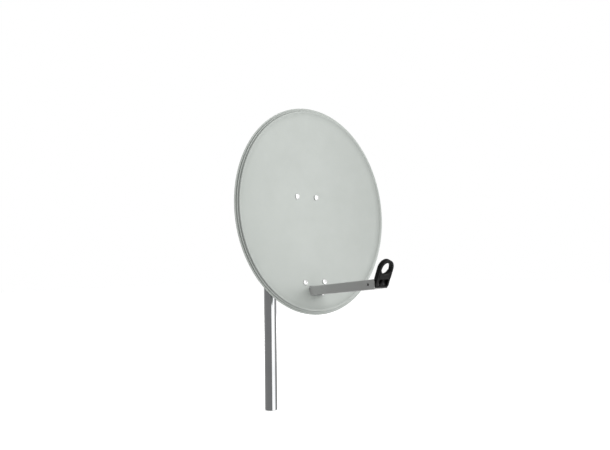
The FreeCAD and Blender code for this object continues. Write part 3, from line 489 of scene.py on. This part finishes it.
# ---------------------------------------------------------------- fasteners
def bolt_frames():
    """Frames at the four reflector bolts, y along each bolt, rearward."""
    frames = []
    for up in BOLT_UPS:
        slope_v = up * math.cos(OFFSET_ANGLE) ** 2 / (2 * FOCAL)
        slope = math.degrees(math.atan2(slope_v * math.cos(OFFSET_ANGLE), 1 + slope_v * math.sin(OFFSET_ANGLE)))
        for side in (-1, 1):
            across = side * BOLT_ACROSS
            along = (APERTURE ** 2 - across ** 2 - (up * math.cos(OFFSET_ANGLE)) ** 2) / (4 * FOCAL)
            point = (across, along * math.cos(OFFSET_ANGLE), up - along * math.sin(OFFSET_ANGLE))
            frames.append(DISH @ move(*point) @ about_x(slope))
    return frames


def dome_head(radius, rise, dimple):
    """A pressed carriage-bolt head below z = 0, with a fine brim and a centre mark."""
    ball = (radius ** 2 + rise ** 2) / (2 * rise)
    points = [(0, -rise + 0.35), (dimple * 0.55, -rise + 0.32)]
    for k in range(13):
        reach = dimple + (radius - 0.25 - dimple) * k / 12
        points.append((reach, ball - rise - math.sqrt(ball ** 2 - reach ** 2)))
    return points + [(radius, -0.25), (radius - 0.1, 0.0)]


def carriage_bolt(radius, length, head, rise):
    """Domed head below z = 0, plain neck, then thread."""
    return lathe(dome_head(head, rise, 1.5) + [(radius, 0.0), (radius, 3.0)]
                 + thread(radius, 3.0, length)[1:], 40)


def reflector_bolt(marked):
    """Low dome on an upright brim; the lower pair has a punched mark in the middle."""
    shoulder = 0.9
    across = DOME - shoulder
    climb = DOME_RISE - DOME_BRIM - shoulder * 0.6
    ball = (across ** 2 + climb ** 2) / (2 * climb)
    mark = 2.2 if marked else 0.4
    points = [(0, 1.2 - DOME_RISE), (2.0, 1.2 - DOME_RISE)] if marked else [(0, -DOME_RISE)]
    for k in range(15):
        reach = mark + (across - mark) * k / 14
        points.append((reach, ball - DOME_RISE - math.sqrt(ball ** 2 - reach ** 2)))
    points += [(across + shoulder * 0.62, -DOME_BRIM - shoulder * 0.28), (DOME, -DOME_BRIM), (DOME, -0.3),
               (DOME - 0.3, 0.0)]
    return lathe(points + [(M8, 0.0), (M8, 3.0)] + thread(M8, 3.0, 24)[1:], 48)


def hex_head_bolt(radius, length, flats, head, plain):
    """Forged head with a washer face, plain shank, then thread."""
    heap = Heap()
    heap.add(hexagon(flats, head - 0.4), move(0, 0, -head))
    heap.add(lathe([(0, -0.4), (flats / 2 * 0.94, -0.4), (flats / 2 * 0.94, 0), (radius, 0), (radius, plain),
                    (radius - 0.3, plain + 0.3)] + thread(radius, plain + 0.4, length)[2:], 36))
    return heap.verts, heap.faces


def m8_bolt(length, plain):
    return hex_head_bolt(M8, length, M8_FLATS, M8_HEAD, plain)


def m8_nut():
    return hexagon(M8_FLATS, M8_NUT, M8 + RUNNING)


def m8_washer():
    return washer(M8_WASHER, M8 + 0.4, WASHER)


def fasten_reflector():
    """Domes through the sheet and the feet of the side plates."""
    behind = SHEET + FOOT_GAP + PLATE
    bolts, washers, nuts, marks = Heap(), Heap(), Heap(), Heap()
    for number, place in enumerate(bolt_frames()):
        marked = number < 2
        bolts.add(reflector_bolt(marked), spot(place, 0, -DOME_RAISED, 0, "+y"))
        if marked:
            # a black disc on the floor of each punched mark: painted shade in the recess
            marks.add(lathe([(0, -3.7), (1.6, -3.7), (1.9, -3.5), (1.9, -3.35), (0, -3.35)], 32),
                      spot(place, 0, -DOME_RAISED, 0, "+y"))
        washers.add(m8_washer(), spot(place, 0, behind, 0, "+y"))
        nuts.add(m8_nut(), spot(place, 0, behind + WASHER, 0, "+y"))
    bolts.lay("dome_head_bolts", "dish", CHROME, "bolt_chrome", ("reflector_bolts",))
    # the black discs in the lower domes are painted shade in their punched marks
    marks.lay("bolt_centre_painted_shade", "dish", OXIDE, "black_steel")
    washers.lay("foot_washers", "dish", ZINC, "zinc_steel", ("reflector_washers",))
    nuts.lay("foot_nuts", "dish", ZINC, "zinc_steel", ("reflector_nuts",), 28)


def fasten_arm():
    """Two bolts across the arm and the side plates."""
    bolts, washers, nuts = Heap(), Heap(), Heap()
    for back in ARM_BOLTS_BACK:
        bolts.add(m8_bolt(80.4, 54), spot(ARM, -PLATE_OUT - WASHER, back, 0, "+x"))
        for side, facing in SIDES:
            washers.add(m8_washer(), spot(ARM, side * PLATE_OUT, back, 0, facing))
        nuts.add(m8_nut(), spot(ARM, PLATE_OUT + WASHER, back, 0, "+x"))
    bolts.lay("arm_through_bolts", "dish", ZINC, "zinc_steel", ("arm_bolts",), 28)
    washers.lay("arm_flat_washers", "dish", ZINC, "zinc_steel", ("arm_washers",))
    nuts.lay("arm_hex_nuts", "dish", ZINC, "zinc_steel", ("arm_nuts",), 28)


def fasten_elevation():
    """The pivot across the yoke and the two lock bolts in its slots."""
    def pivot(x, facing):
        return spot(MAST, x, PIVOT_Y, PIVOT_Z, facing)

    heap = Heap().add(hex_head_bolt(M10, 89.8, M10_FLATS, M10_HEAD, 62), pivot(-CHEEK_OUT - BROAD, "+x"))
    heap.lay("elevation_pivot_bolt", "azimuth_head", ZINC, "zinc_steel", ("pivot_bolt",), 28)
    heap = Heap()
    for side, facing in SIDES:
        heap.add(washer(M10_WASHER, M10 + RUNNING, BROAD), pivot(side * CHEEK_OUT, facing))
    heap.lay("pivot_flat_washers", "azimuth_head", ZINC, "zinc_steel", ("pivot_washers",))
    heap = Heap().add(hexagon(M10_FLATS, M10_NUT, M10 + RUNNING), pivot(CHEEK_OUT + BROAD, "+x"))
    heap.lay("pivot_hex_nut", "azimuth_head", ZINC, "zinc_steel", ("pivot_nut",), 28)

    bolts, washers, nuts = Heap(), Heap(), Heap()
    outside = CHEEK_OUT + CHEEK_GAP
    for side, facing in SIDES:
        for heap, solid, out in ((bolts, carriage_bolt(M8, 24, 8.5, 4), PLATE_OUT - PLATE),
                                 (washers, washer(12, M8 + 0.1, BROAD), outside),
                                 (nuts, m8_nut(), outside + BROAD)):
            heap.add(solid, spot(MAST, side * out, PIVOT_Y, PIVOT_Z - LOCK, facing))
    bolts.lay("lock_bolts", "dish", ZINC, "zinc_steel", ("elevation_lock_bolts",))
    washers.lay("lock_washers", "dish", ZINC, "zinc_steel", ("elevation_lock_washers",))
    nuts.lay("lock_nuts", "dish", ZINC, "zinc_steel", ("elevation_lock_nuts",), 28)


def fasten_jaws():
    """Two bolts across the mast at each level of jaws."""
    bolts = Heap()
    for name, level in zip(("lower", "upper"), JAW_LEVELS):
        body = f"{name}_rear_clamp"
        washers, nuts = Heap(), Heap()
        for across in (-CLAMP_ACROSS, CLAMP_ACROSS):
            bolts.add(m8_bolt(101, 40), spot(MAST, across, -JAW_BACK - JAW_WALL, level, "+y"))
            washers.add(m8_washer(), spot(MAST, across, JAW_BACK, level, "+y"))
            nuts.add(m8_nut(), spot(MAST, across, JAW_BACK + WASHER, level, "+y"))
        washers.lay(f"{name}_jaw_washers", body, ZINC, "zinc_steel", (f"{name}_clamp_washers",))
        nuts.lay(f"{name}_jaw_nuts", body, ZINC, "zinc_steel", (f"{name}_clamp_nuts",), 28)
    bolts.lay("jaw_bolts", "azimuth_head", ZINC, "zinc_steel", ("clamp_bolts",), 28)


def rivet_bridge():
    """Blind rivets through the side plates and the bridge's flanges."""
    rivets = Heap()
    for back in RIVETS_BACK:
        for facing, side in (("+x", -1), ("-x", 1)):
            profile = dome_head(4.6, 2.2, 1.2) + [(2.5, 0), (2.5, 5.1), (4.1, 5.1), (4.4, 5.4), (4.4, 6.2),
                                                  (3.9, 6.7), (1.3, 6.7), (1.0, 6.2), (0, 6.2)]
            rivets.add(lathe(profile, 32), spot(DISH, side * PLATE_OUT, back, 60, facing))
    rivets.lay("blind_rivets", "dish", RIVET, "rivet_aluminium", ("bridge_rivets",))


# ---------------------------------------------------------------- mast, cap and elevation scale
def make_mast():
    """The pipe, in eight lengths, with softened ends."""
    inner = MAST_RADIUS - MAST_WALL
    profile = [(inner, 0.6), (inner + 0.6, 0), (MAST_RADIUS - 0.5, 0), (MAST_RADIUS, 0.5)]
    profile += [(MAST_RADIUS, MAST_HEIGHT * k / 8) for k in range(1, 8)]
    profile += [(MAST_RADIUS, MAST_HEIGHT - 0.5), (MAST_RADIUS - 0.5, MAST_HEIGHT), (inner + 0.6, MAST_HEIGHT),
                (inner, MAST_HEIGHT - 0.6)]
    tube = closed_lathe(profile, 128)
    lay("mast_pipe", *tube, "mast", TUBE, "mast_steel", ("mast_tube",), 35)


def make_cap():
    """Pushed-on cap with a dished top and grip grooves round it."""
    outer, skirt, top = MAST_RADIUS + 2.25, 22.0, 24.5
    sides, grooves, groove_depth, grooved = 240, 48, 0.55, (2.3, 17.7)
    profile = [(MAST_RADIUS + 0.05, skirt), (MAST_RADIUS + 0.05, 0.5), (MAST_RADIUS + 0.5, 0), (outer - 0.5, 0),
               (outer, 0.5), (outer, 2.0), (outer, 2.6), (outer, 17.4), (outer, 18.0), (outer, top - 1.5)]
    profile += [(outer - 1.5 + 1.5 * math.cos(math.radians(a)), top - 1.5 + 1.5 * math.sin(math.radians(a)))
                for a in (30, 60, 90)]
    profile += [(outer - 6, top), (outer - 6.6, top - 0.5), (outer - 14, top - 0.5), (outer - 14.6, top),
                (0, top)]
    verts, faces = lathe([(0, skirt)] + profile, sides)
    cap = []
    for x, y, z in verts:
        radius = math.hypot(x, y)
        if radius > outer - 0.01 and grooved[0] < z < grooved[1]:
            groove = max(0.0, math.cos(grooves * math.atan2(y, x)))
            x, y = (c * (1 - groove_depth * groove ** 2 / radius) for c in (x, y))
        cap.append((x, y, z + MAST_HEIGHT - skirt))
    lay("mast_end_cap", cap, faces, "mast", CAP, "black_plastic", ("mast_cap",), 35)


def bar(start, end, width, face, side):
    """A thin inked stroke on a cheek, between two (y, z) points."""
    along = Vector((end[0] - start[0], end[1] - start[1]))
    across = Vector((-along.y, along.x)).normalized() * width / 2
    flat = [Vector(start) + across, Vector(start) - across, Vector(end) - across, Vector(end) + across]
    verts = [(side * (face + rise), p.x, p.y) for rise in (-0.02, 0.12) for p in flat]
    return verts, [[0, 1, 2, 3], [7, 6, 5, 4], [0, 4, 5, 1], [1, 5, 6, 2], [2, 6, 7, 3], [3, 7, 4, 0]]


def digits(label, high, place):
    """Upright numerals as a thin solid, centred on the place."""
    curve = bpy.data.curves.new("numerals", "FONT")
    curve.body, curve.size, curve.extrude = label, high, 0.07
    curve.align_x, curve.align_y = "CENTER", "CENTER"
    text = bpy.data.objects.new("numerals", curve)
    bpy.context.scene.collection.objects.link(text)
    bpy.context.view_layer.update()
    mesh = bpy.data.meshes.new_from_object(text.evaluated_get(bpy.context.evaluated_depsgraph_get()))
    verts = [place @ v.co for v in mesh.vertices]
    faces = [list(p.vertices) for p in mesh.polygons]
    bpy.data.objects.remove(text)
    return verts, faces


def make_scale():
    """Elevation scale outside the lock slot, on both cheeks of the yoke."""
    ticks, numerals = 74.2, 81.5
    level = math.degrees(OFFSET_ANGLE) + DISH_TILT
    heap = Heap()

    def on_cheek(elevation, reach):
        turn = math.radians(-90 - (elevation - level))
        return PIVOT_Y + reach * math.cos(turn), PIVOT_Z + reach * math.sin(turn)

    for side in (-1, 1):
        for elevation in range(10, 50, 2):
            long = 3.2 if elevation % 10 == 0 else 1.8
            start, end = on_cheek(elevation, ticks), on_cheek(elevation, ticks + long)
            heap.add(bar(start, end, 0.45, CHEEK_OUT, side))
        for elevation in (10, 20, 30, 40):
            y, z = on_cheek(elevation, numerals)
            turn = Matrix(((0, 0, side), (side, 0, 0), (0, 1, 0))).to_4x4()
            place = move(side * (CHEEK_OUT + 0.05), y, z) @ turn
            heap.add(digits(str(elevation), 5.2, place))
    heap.lay("elevation_scale", "azimuth_head", INK, "black_plastic")


# ---------------------------------------------------------------- holder of the feed
def stacked(sections):
    """A closed solid through sections with equal counts of points, capped at both ends."""
    count = len(sections[0])
    verts = [p for section in sections for p in section]
    faces = [list(range(count)), list(range(len(verts) - 1, len(verts) - count - 1, -1))]
    for s in range(len(sections) - 1):
        for k in range(count):
            nxt = (k + 1) % count
            faces.append([s * count + k, s * count + nxt, (s + 1) * count + nxt, (s + 1) * count + k])
    return verts, faces


def strap_section(inner, outer, bevel):
    """Section of the strap, radius and depth: bevelled bore, sunk bands on both faces, round outside."""
    half = RING_HALF
    front = [(inner, bevel - half), (inner + bevel, -half), (inner + bevel + 1.0, -half),
             (inner + bevel + 1.3, 0.7 - half), (outer - 3.3, 0.7 - half), (outer - 3.0, -half),
             (outer - 1.5, -half)]
    front += [(outer - 1.5 + 1.5 * math.sin(math.radians(a)), 1.5 - half - 1.5 * math.cos(math.radians(a)))
              for a in (30, 60, 90)]
    return front + [(r, -y) for r, y in reversed(front)]


def make_strap():
    """Arch over the neck with two straight legs, each with a slot for a nut behind."""
    arch = strap_section(NECK, RING_OUT, INLET)
    post = strap_section(LEG, RING_OUT, 0.5)
    soft = strap_section(LEG + 0.5, RING_OUT - 0.5, 0.6)
    sections = [[(r, y, SEAM) for r, y in soft], [(r, y, SEAM + 0.6) for r, y in post],
                [(r, y, -0.4) for r, y in post]]
    for step in range(61):
        turn = math.radians(3 * step)
        sections.append([(r * math.cos(turn), y, r * math.sin(turn)) for r, y in arch])
    sections += [[(-r, y, -0.4) for r, y in post], [(-r, y, SEAM + 0.6) for r, y in post],
                 [(-r, y, SEAM) for r, y in soft]]
    verts, faces = stacked(sections)
    piece = lay("neck_strap", [RING @ Vector(v) for v in verts], faces, "lnb_clamp_strap", HOLDER,
                "holder_plastic", ("lnb_strap",), 30)
    tools = [rounded_box("nut_slot_tool", 3.3, 6, (-24.2, -20.8), 0.4,
                         spot(RING, side * SCREW_ACROSS, RING_HALF + 2, 0)) for side in (-1, 1)]
    carve(piece, tools)


def carve(piece, tools, keep=(), angle=30):
    """Cut tools out of a piece, or keep only what lies inside them."""
    for how, group in (("DIFFERENCE", tools), ("INTERSECT", keep)):
        for tool in group:
            change = piece.modifiers.new("carve", "BOOLEAN")
            change.object, change.operation, change.solver = tool, how, "EXACT"
    bpy.context.view_layer.update()
    material = piece.data.materials[0]
    bake(piece)
    for tool in list(tools) + list(keep):
        bpy.data.objects.remove(tool)
    piece.data.materials.clear()
    piece.data.materials.append(material)
    piece.data.shade_smooth()
    piece.data.set_sharp_from_angle(angle=math.radians(angle))


def serrated_saddle():
    """Block under the neck whose hollow has fine grip ribs along it."""
    half, top, seam, rib = SADDLE_HALF, -8.0, SEAM - 0.3, 0.45
    flush = RING_HALF - INLET
    sections = []
    for y, extra, depth in ((-RING_HALF, INLET, 0.0), (-flush, 0.0, rib), (flush, 0.0, rib),
                            (RING_HALF, INLET, 0.0)):
        reach = NECK + extra
        lean = math.asin(-top / reach)
        points = [(-half, y, seam), (half, y, seam), (half, y, top)]
        for k in range(97):
            turn = -lean - (math.pi - 2 * lean) * k / 96
            ridge = depth if k % 4 in (2, 3) else 0.0
            points.append(((reach + ridge) * math.cos(turn), y, (reach + ridge) * math.sin(turn)))
        sections.append(points + [(-half, y, top)])
    return stacked(sections)


def gusset():
    """Rounded web in the middle of the front pocket, flaring to the bottom."""
    sections = []
    for k in range(13):
        share = k / 12
        wide, front = 3.0 + 10.0 * share ** 1.7, -5.6 - 1.6 * share
        section = []
        for a in range(0, 181, 12):
            turn = math.radians(a)
            section.append((wide * math.cos(turn), 4.0 + (front - 4.0) * math.sin(turn) ** 0.8,
                            -36.5 - 25.5 * share))
        sections.append(section)
    return stacked(sections)


def soft_block(half, front, rear, low, high, soft=0.5):
    """A small block with softened edges, x either side of the middle."""
    sections = []
    for z, inset in ((low, soft), (low + soft, 0), (high - soft, 0), (high, soft)):
        x, y0, y1 = half - inset, front + inset, rear - inset
        sections.append([(x - soft, y0, z), (x, y0 + soft, z), (x, y1 - soft, z), (x - soft, y1, z),
                         (soft - x, y1, z), (-x, y1 - soft, z), (-x, y0 + soft, z), (soft - x, y0, z)])
    return stacked(sections)


def make_holder_base():
    """Block from the seam down to the arm's end, with the front pocket and the two screw wells."""
    to_ring = RING.inverted() @ ARM

    def from_arm(y, z):
        point = to_ring @ Vector((0, y, z))
        return point.y, point.z

    rear, top, chin = HOLDER_REAR, SEAM - 0.3, -11
    outline = [(RING_HALF, top), (-RING_HALF, top), from_arm(-ARM_FRONT - 3.2, chin), from_arm(rear, chin),
               from_arm(rear, ARM_HEIGHT / 2 + 2.5)]
    sections = [[(x, y, z) for y, z in outline] for x in (-BASE_HALF, BASE_HALF)]
    verts, faces = stacked(sections)
    block = lay("holder_block", [RING @ Vector(v) for v in verts], faces, "dish", HOLDER, "holder_plastic",
                ("lnb_holder_base",), 30)
    edge = block.modifiers.new("edges", "BEVEL")
    edge.width, edge.segments, edge.limit_method = 0.7 * MM, 2, "ANGLE"
    bpy.context.view_layer.update()
    bake(block)
    lowest = min(z for _, z in outline)
    tools = [rounded_box("pocket_tool", POCKET_HALF, POCKET_DEPTH, POCKET_LEVELS, 4.0,
                         spot(RING, 0, -RING_HALF, 0))]
    for side in (-1, 1):
        tools.append(rounded_box("well_tool", WELL_HALF, WELL_DEPTH, WELL_LEVELS, 1.2,
                                 spot(RING, side * WELL_ACROSS, 0, 0)))
    keep = [rounded_box("corner_tool", BASE_HALF, 90, (lowest, -10.0), 7.0, RING)]
    carve(block, tools, keep)


def make_saddle():
    """Ribbed hollow under the neck, web and pads in the pocket, tongue inside the arm."""
    heap = Heap()
    heap.add(serrated_saddle(), RING).add(gusset(), RING)
    for across, half in ((-11.0, 5.0), (10.0, 6.0)):
        heap.add(soft_block(half, -8.5, -7.0, -36.4, -34.8, 0.2), RING @ move(across, 0, 0))
    tongue = soft_block(TONGUE_HALF, -TONGUE_RISE, TONGUE_RISE, 0, TONGUE_LONG, 0.8)
    heap.add(tongue, spot(ARM, 0, HOLDER_REAR, 0, "+y"))
    heap.lay("holder_saddle", "dish", HOLDER, "holder_plastic", (), 30)


def fasten_holder():
    """Cross bolt through the arm and tongue, and the strap's two screws."""
    bolt = [(0, 1.8), (3.1, 1.8), (3.4, 0.2), (4.1, 0.2), (4.4, 0.5), (4.4, 3.0), (2.5, 3.0), (2.5, 54.0),
            (1.9, 55.0), (0, 55.0)]
    heap = Heap().add(lathe(bolt, 36), spot(ARM, -28.8, CROSS_BACK - ARM_FRONT, 0, "+x"))
    heap.lay("cross_bolt", "dish", OXIDE, "black_steel", ("holder_cross_bolt",))
    heap = Heap().add(hexagon(8, 3.2, 2.55), spot(ARM, 25.4, CROSS_BACK - ARM_FRONT, 0, "+x"))
    heap.lay("cross_nut", "dish", OXIDE, "black_steel", ("holder_cross_nut",), 28)
    heap = Heap()
    for side in (-1, 1):
        screw = [(0, -2.0), (1.1, -2.0), (1.4, -3.0), (3.2, -3.0), (3.5, -2.7), (3.5, 0.0), (2.0, 0.0)]
        heap.add(lathe(screw + thread(2.0, 0.2, 27.0, 0.7)[1:], 28), spot(RING, side * SCREW_ACROSS, 0, -41.1))
    heap.lay("strap_screw_pair", "dish", OXIDE, "black_steel", ("strap_screws",))


# ---------------------------------------------------------------- plain CAD nodes
CAD_LOOKS = {
    "feed_arm": ARM_COAT, "arm_end_plug": CAP, "left_side_plate": GALVANISED, "right_side_plate": GALVANISED,
    "bridge_plate": GALVANISED, "mast_yoke": GALVANISED, "upper_front_jaw": GALVANISED,
    "lower_front_jaw": GALVANISED, "upper_rear_jaw": GALVANISED, "lower_rear_jaw": GALVANISED,
}


def dress_cad():
    """Materials for the CAD nodes that stay; the rest of them are plated."""
    for name, item in NODES.items():
        look = CAD_LOOKS.get(name, ZINC)
        for place in item.material_slots:
            place.material = look
        if not item.material_slots:
            item.data.materials.append(look)


# ---------------------------------------------------------------- camera, light and floor
CAMERA_PLACE = (-1.4519, -2.0740, 0.6072)
CAMERA_BACK = Vector((-0.61940, -0.78302, -0.05679))
CAMERA_RIGHT = Vector((0.78469, -0.61974, -0.01350))
LENS, SENSOR = 36.011, 36.0


def make_camera():
    """The photo's own view, solved from the object's edges."""
    data = bpy.data.cameras.new("camera")
    data.lens = LENS
    data.sensor_width = SENSOR
    data.sensor_fit = "HORIZONTAL"
    data.clip_start = 0.01
    camera = bpy.data.objects.new("camera", data)
    bpy.context.scene.collection.objects.link(camera)
    back = CAMERA_BACK.normalized()
    up = back.cross(CAMERA_RIGHT).normalized()
    right = up.cross(back)
    turn = Matrix((right, up, back)).transposed().to_4x4()
    camera.matrix_world = Matrix.Translation(CAMERA_PLACE) @ turn
    bpy.context.scene.camera = camera


def area_light(name, place, target, size, power):
    data = bpy.data.lights.new(name, "AREA")
    data.shape = "RECTANGLE"
    data.size, data.size_y = size
    data.energy = power
    light = bpy.data.objects.new(name, data)
    bpy.context.scene.collection.objects.link(light)
    light.location = place
    light.rotation_euler = (Vector(target) - Vector(place)).to_track_quat("-Z", "Y").to_euler()


FLOOR_HALF, FLOOR_LEVEL, FLOOR_GLOW = 12.0, -0.002, 0.60


def make_stage():
    """White floor, seen by the camera and shaded, but neither mirrored nor lighting the object."""
    half = FLOOR_HALF
    corners = [(-half, -half, 0), (half, -half, 0), (half, half, 0), (-half, half, 0)]
    floor = add_mesh("floor", corners, [[0, 1, 2, 3]])
    floor.location.z = FLOOR_LEVEL
    look = Shade("floor_white", specular=0.1)
    shade, sheen = look.noise(2), look.noise(5)
    look.use(look.ramp(shade, (0.3, 0.92), (0.7, 0.94)), look.ramp(sheen, (0.3, 0.9), (0.7, 0.95)))
    floor.data.materials.append(look.bump((look.noise(200), 0.02, 0.0005)))
    floor.visible_glossy = False
    floor.visible_diffuse = False
    shader = look.shader.inputs
    shader["Emission Color"].default_value = (1, 1, 1, 1)
    shader["Emission Strength"].default_value = FLOOR_GLOW


# grey level of the studio by compass angle, the front at -90: in mirrors, and as light on matt surfaces
MIRRORED = ((-180, 0.158), (-128, 0.158), (-106, 0.125), (-98, 1.0), (-44, 1.0), (-36, 0.22), (50, 0.24),
            (82, 0.23), (90, 0.38), (112, 0.38), (122, 0.17), (180, 0.158))
SPREAD = ((-180, 0.20), (-150, 0.36), (-112, 1.15), (-30, 1.15), (20, 0.85), (80, 0.42), (180, 0.20))
# share of the matt light by height, from straight down to straight up
LAYERS = ((-1.0, 0.58), (-0.5, 0.84), (0.0, 1.0), (0.5, 0.92), (1.0, 0.55))
GLOSS_POWER = 1.6


def make_world():
    """Studio round the object: a bright side, a grey side and a dark side, each with soft edges."""
    world = bpy.data.worlds.new("studio")
    bpy.context.scene.world = world
    world.use_nodes = True
    tree = world.node_tree
    tree.nodes.clear()

    node, link = tree.nodes.new, tree.links.new
    direction = node("ShaderNodeTexCoord").outputs["Generated"]
    apart = node("ShaderNodeSeparateXYZ")
    link(direction, apart.inputs[0])
    angle = node("ShaderNodeMath")
    angle.operation = "ARCTAN2"
    link(apart.outputs["Y"], angle.inputs[0])
    link(apart.outputs["X"], angle.inputs[1])
    turned = node("ShaderNodeMapRange")
    turned.inputs["From Min"].default_value = -math.pi
    turned.inputs["From Max"].default_value = math.pi
    link(angle.outputs[0], turned.inputs["Value"])
    height = node("ShaderNodeMapRange")
    height.inputs["From Min"].default_value = -1.0
    link(apart.outputs["Z"], height.inputs["Value"])

    def by_angle(stops):
        places = [((degrees + 180) / 360, level) for degrees, level in stops]
        return ramped(tree, turned.outputs["Result"], places)

    layers = ramped(tree, height.outputs["Result"], [((up + 1) / 2, level) for up, level in LAYERS])
    spread = blended(tree, 1.0, by_angle(SPREAD), layers, "MULTIPLY")
    ray = node("ShaderNodeLightPath").outputs
    lit = blended(tree, ray["Is Glossy Ray"], spread, by_angle(MIRRORED))
    seen = blended(tree, ray["Is Camera Ray"], lit, (1, 1, 1))
    power = node("ShaderNodeMix")
    power.data_type = "FLOAT"
    link(ray["Is Glossy Ray"], power.inputs[0])
    power.inputs[2].default_value, power.inputs[3].default_value = 1.0, GLOSS_POWER
    background = node("ShaderNodeBackground")
    link(power.outputs[0], background.inputs["Strength"])
    link(seen, background.inputs["Color"])
    link(background.outputs[0], node("ShaderNodeOutputWorld").inputs[0])


# name, place, target, size and power
LIGHTS = (
    ("key", (0.5, -3.4, 2.2), (0, -0.2, 0.7), (2.2, 2.2), 22),
    ("side", (2.2, -2.9, 1.3), (0, -0.3, 0.75), (2.4, 1.8), 37),
    ("back", (1.6, 3.0, 2.4), (0, 0, 0.7), (2.0, 2.0), 95),
)


def make_lights():
    for light in LIGHTS:
        area_light(*light)


make_world()
make_camera()
make_stage()
make_lights()
dress_cad()
make_reflector()
fasten_reflector()
fasten_arm()
fasten_elevation()
fasten_jaws()
rivet_bridge()
make_mast()
make_cap()
make_scale()
make_strap()
make_holder_base()
make_saddle()
fasten_holder()
bpy.context.scene.view_settings.view_transform = "Standard"
